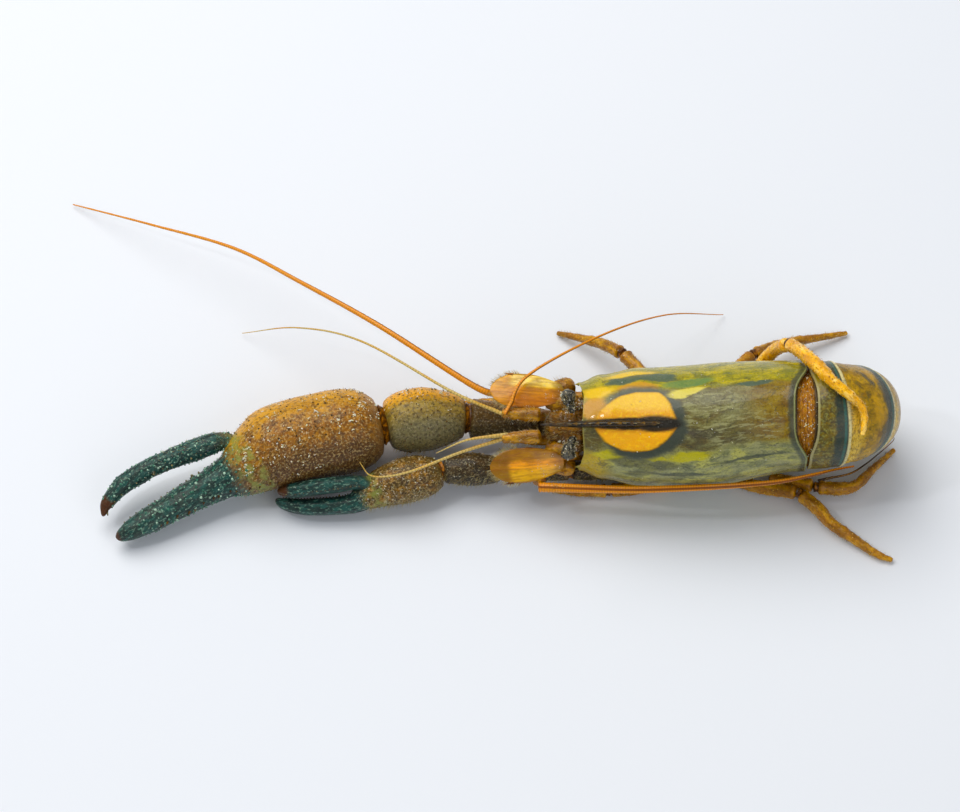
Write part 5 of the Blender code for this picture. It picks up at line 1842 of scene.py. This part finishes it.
# %% Legs
LEG_RADIUS = 2.0
LEG_ROUGHNESS = 0.07
RAISED_LEG_ROUGHNESS = 0.11
SLENDER_LEGS = {
    LEFT: [(-51, -2.6, 3.6, 1.1), (-66, -3.4, 3.2, 1.3), (-84, -4.0, 2.9, 1.2), (-99, -6.0, 2.2, 0.5)],
    RIGHT: [(-52, 13.2, 9.6, 1.1), (-66, 13.0, 9.0, 1.3), (-84, 13.6, 5.6, 1.2), (-101, 14.6, 2.2, 0.5)],
}
WALKING_LEGS = {
    (3, LEFT): (
        [(-42, -9.6, 2.2), (-50, -11.8, 2.4), (-57, -12.5, 2.4)],
        [(-57.9, -12.6, 2.3), (-65, -12.4, 1.8), (-73, -11.6, 0.8)],
    ),
    (4, LEFT): (
        [(-24, -9.4, 2.4), (-16, -12.2, 3.4), (-7.0, -14.6, 5.0)],
        [
            (-5.8, -15.0, 4.7),
            (-1.2, -19.3, 4.2),
            (2.3, -23.2, 3.2),
            (8.8, -27.8, 2.2),
            (14.4, -31.6, 1.4),
            (18.5, -33.2, 0.9),
        ],
    ),
    (5, LEFT): (
        [(-14, -8.6, 2.4), (-8, -10.6, 3.4), (-2.4, -12.4, 4.8)],
        [(-1.3, -12.8, 4.8), (4.8, -13.0, 4.2), (9.4, -11.4, 3.5), (14.4, -5.7, 2.3), (20.4, 1.0, 0.9)],
    ),
    (3, RIGHT): (
        [(-44, 12.6, 9.6), (-48, 19.0, 10.8), (-53, 26.0, 9.4)],
        [(-53.7, 26.8, 9.2), (-60, 32.0, 5.8), (-71, 38.0, 0.8)],
    ),
    (4, RIGHT): (
        [(-30, 13.2, 9.8), (-24, 19.4, 10.4), (-18, 26.0, 8.8)],
        [(-17.3, 26.7, 8.6), (-8, 32.0, 5.4), (9, 38.0, 0.8)],
    ),
}
SHIN_PROFILE = ((0, 0.86), (0.25, 0.94), (0.5, 0.72), (0.8, 0.52), (1, 0.3))
RAISED_THIGH = [(-19, 13.2, 9.8), (-16.4, 18.6, 15.4), (-12.6, 19.6, 22.6), (-9.8, 17.0, 29.9)]
RAISED_SHIN = [
    (-9.2, 16.4, 31.0),
    in_body(-5.9, 18.9, 11.8),
    in_body(-2.4, 14.8, 18.4),
    in_body(1.0, 11.0, 21.5),
    in_body(5.1, 7.5, 22.1),
    in_body(8.4, 4.6, 21.3),
    in_body(9.4, 1.2, 20.6),
    in_body(8.8, -3.2, 20.5),
]


def make_leg_part(name, stations, look, node, joints, hairs, hinged=False, roughness=LEG_ROUGHNESS):
    limb = Limb(stations, steps=16, root_end=0.5, tip_end=0.5)
    swell = joint_relief([limb.length * share for share in joints], 0.2)
    rough = uneven(roughness, 0.9)
    bm = skin_of(limb, 24, lambda at, angle: swell(at, angle) + rough(at, angle))
    if hinged:
        lay_hinge(bm, limb, 1.0, HINGE)
    set_bumps(limb, 0.8, 0.9 * limb.length, 1.1, GRAIN, 2.8 * roughness, 0.45)
    set_bristles(limb, 0.03, 0.97, hairs, 0.1, 0.7, 0.9)
    set_bristles(limb, 0.03, 0.97, hairs, pi - 0.1, 0.7, 0.9)
    looks = [look, BUMP, BRISTLE, FROST, JOINT_SKIN, LEG_GRAIN]
    finish_piece(bm, name, LAYOUT, looks, [node])


def make_walking_leg(number, side, thigh, shin, look):
    last = len(shin) - 1
    upper = [(*point, LEG_RADIUS * (0.75 if i == 0 else 0.9)) for i, point in enumerate(thigh)]
    lower = [(*point, LEG_RADIUS * value_at(SHIN_PROFILE, i / last)) for i, point in enumerate(shin)]
    word = SIDE_NAMES[side]
    node = f"walking_leg_{number}_{word}"
    make_leg_part(f"leg_{number}_{word}_upper", upper, look, f"{node}_thigh", (0.05, 0.95), 40)
    rough = RAISED_LEG_ROUGHNESS if look is LIT_LEG_LOOK else LEG_ROUGHNESS
    lower_name = f"leg_{number}_{word}_lower"
    make_leg_part(lower_name, lower, look, f"{node}_shin", (0.04, 0.5), 110, True, rough)


for side, stations in SLENDER_LEGS.items():
    word = SIDE_NAMES[side]
    make_leg_part(f"slender_{word}", stations, LEG_LOOK, f"slender_leg_{word}", (0.3, 0.62, 0.8), 60)
for (number, side), (thigh, shin) in WALKING_LEGS.items():
    make_walking_leg(number, side, thigh, shin, LEG_LOOK)
make_walking_leg(5, RIGHT, RAISED_THIGH, RAISED_SHIN, LIT_LEG_LOOK)
print("leg triangles:", sum(count for name, count in tally.items() if "leg" in name or "slender" in name))

# %% [markdown]
# ## Triangle counts
# The dressed prawn's triangles are counted: all of them, and the most in one piece.

# %% Triangle counts
print("all triangles:", sum(tally.values()), "most in one piece:", max(tally.values()))
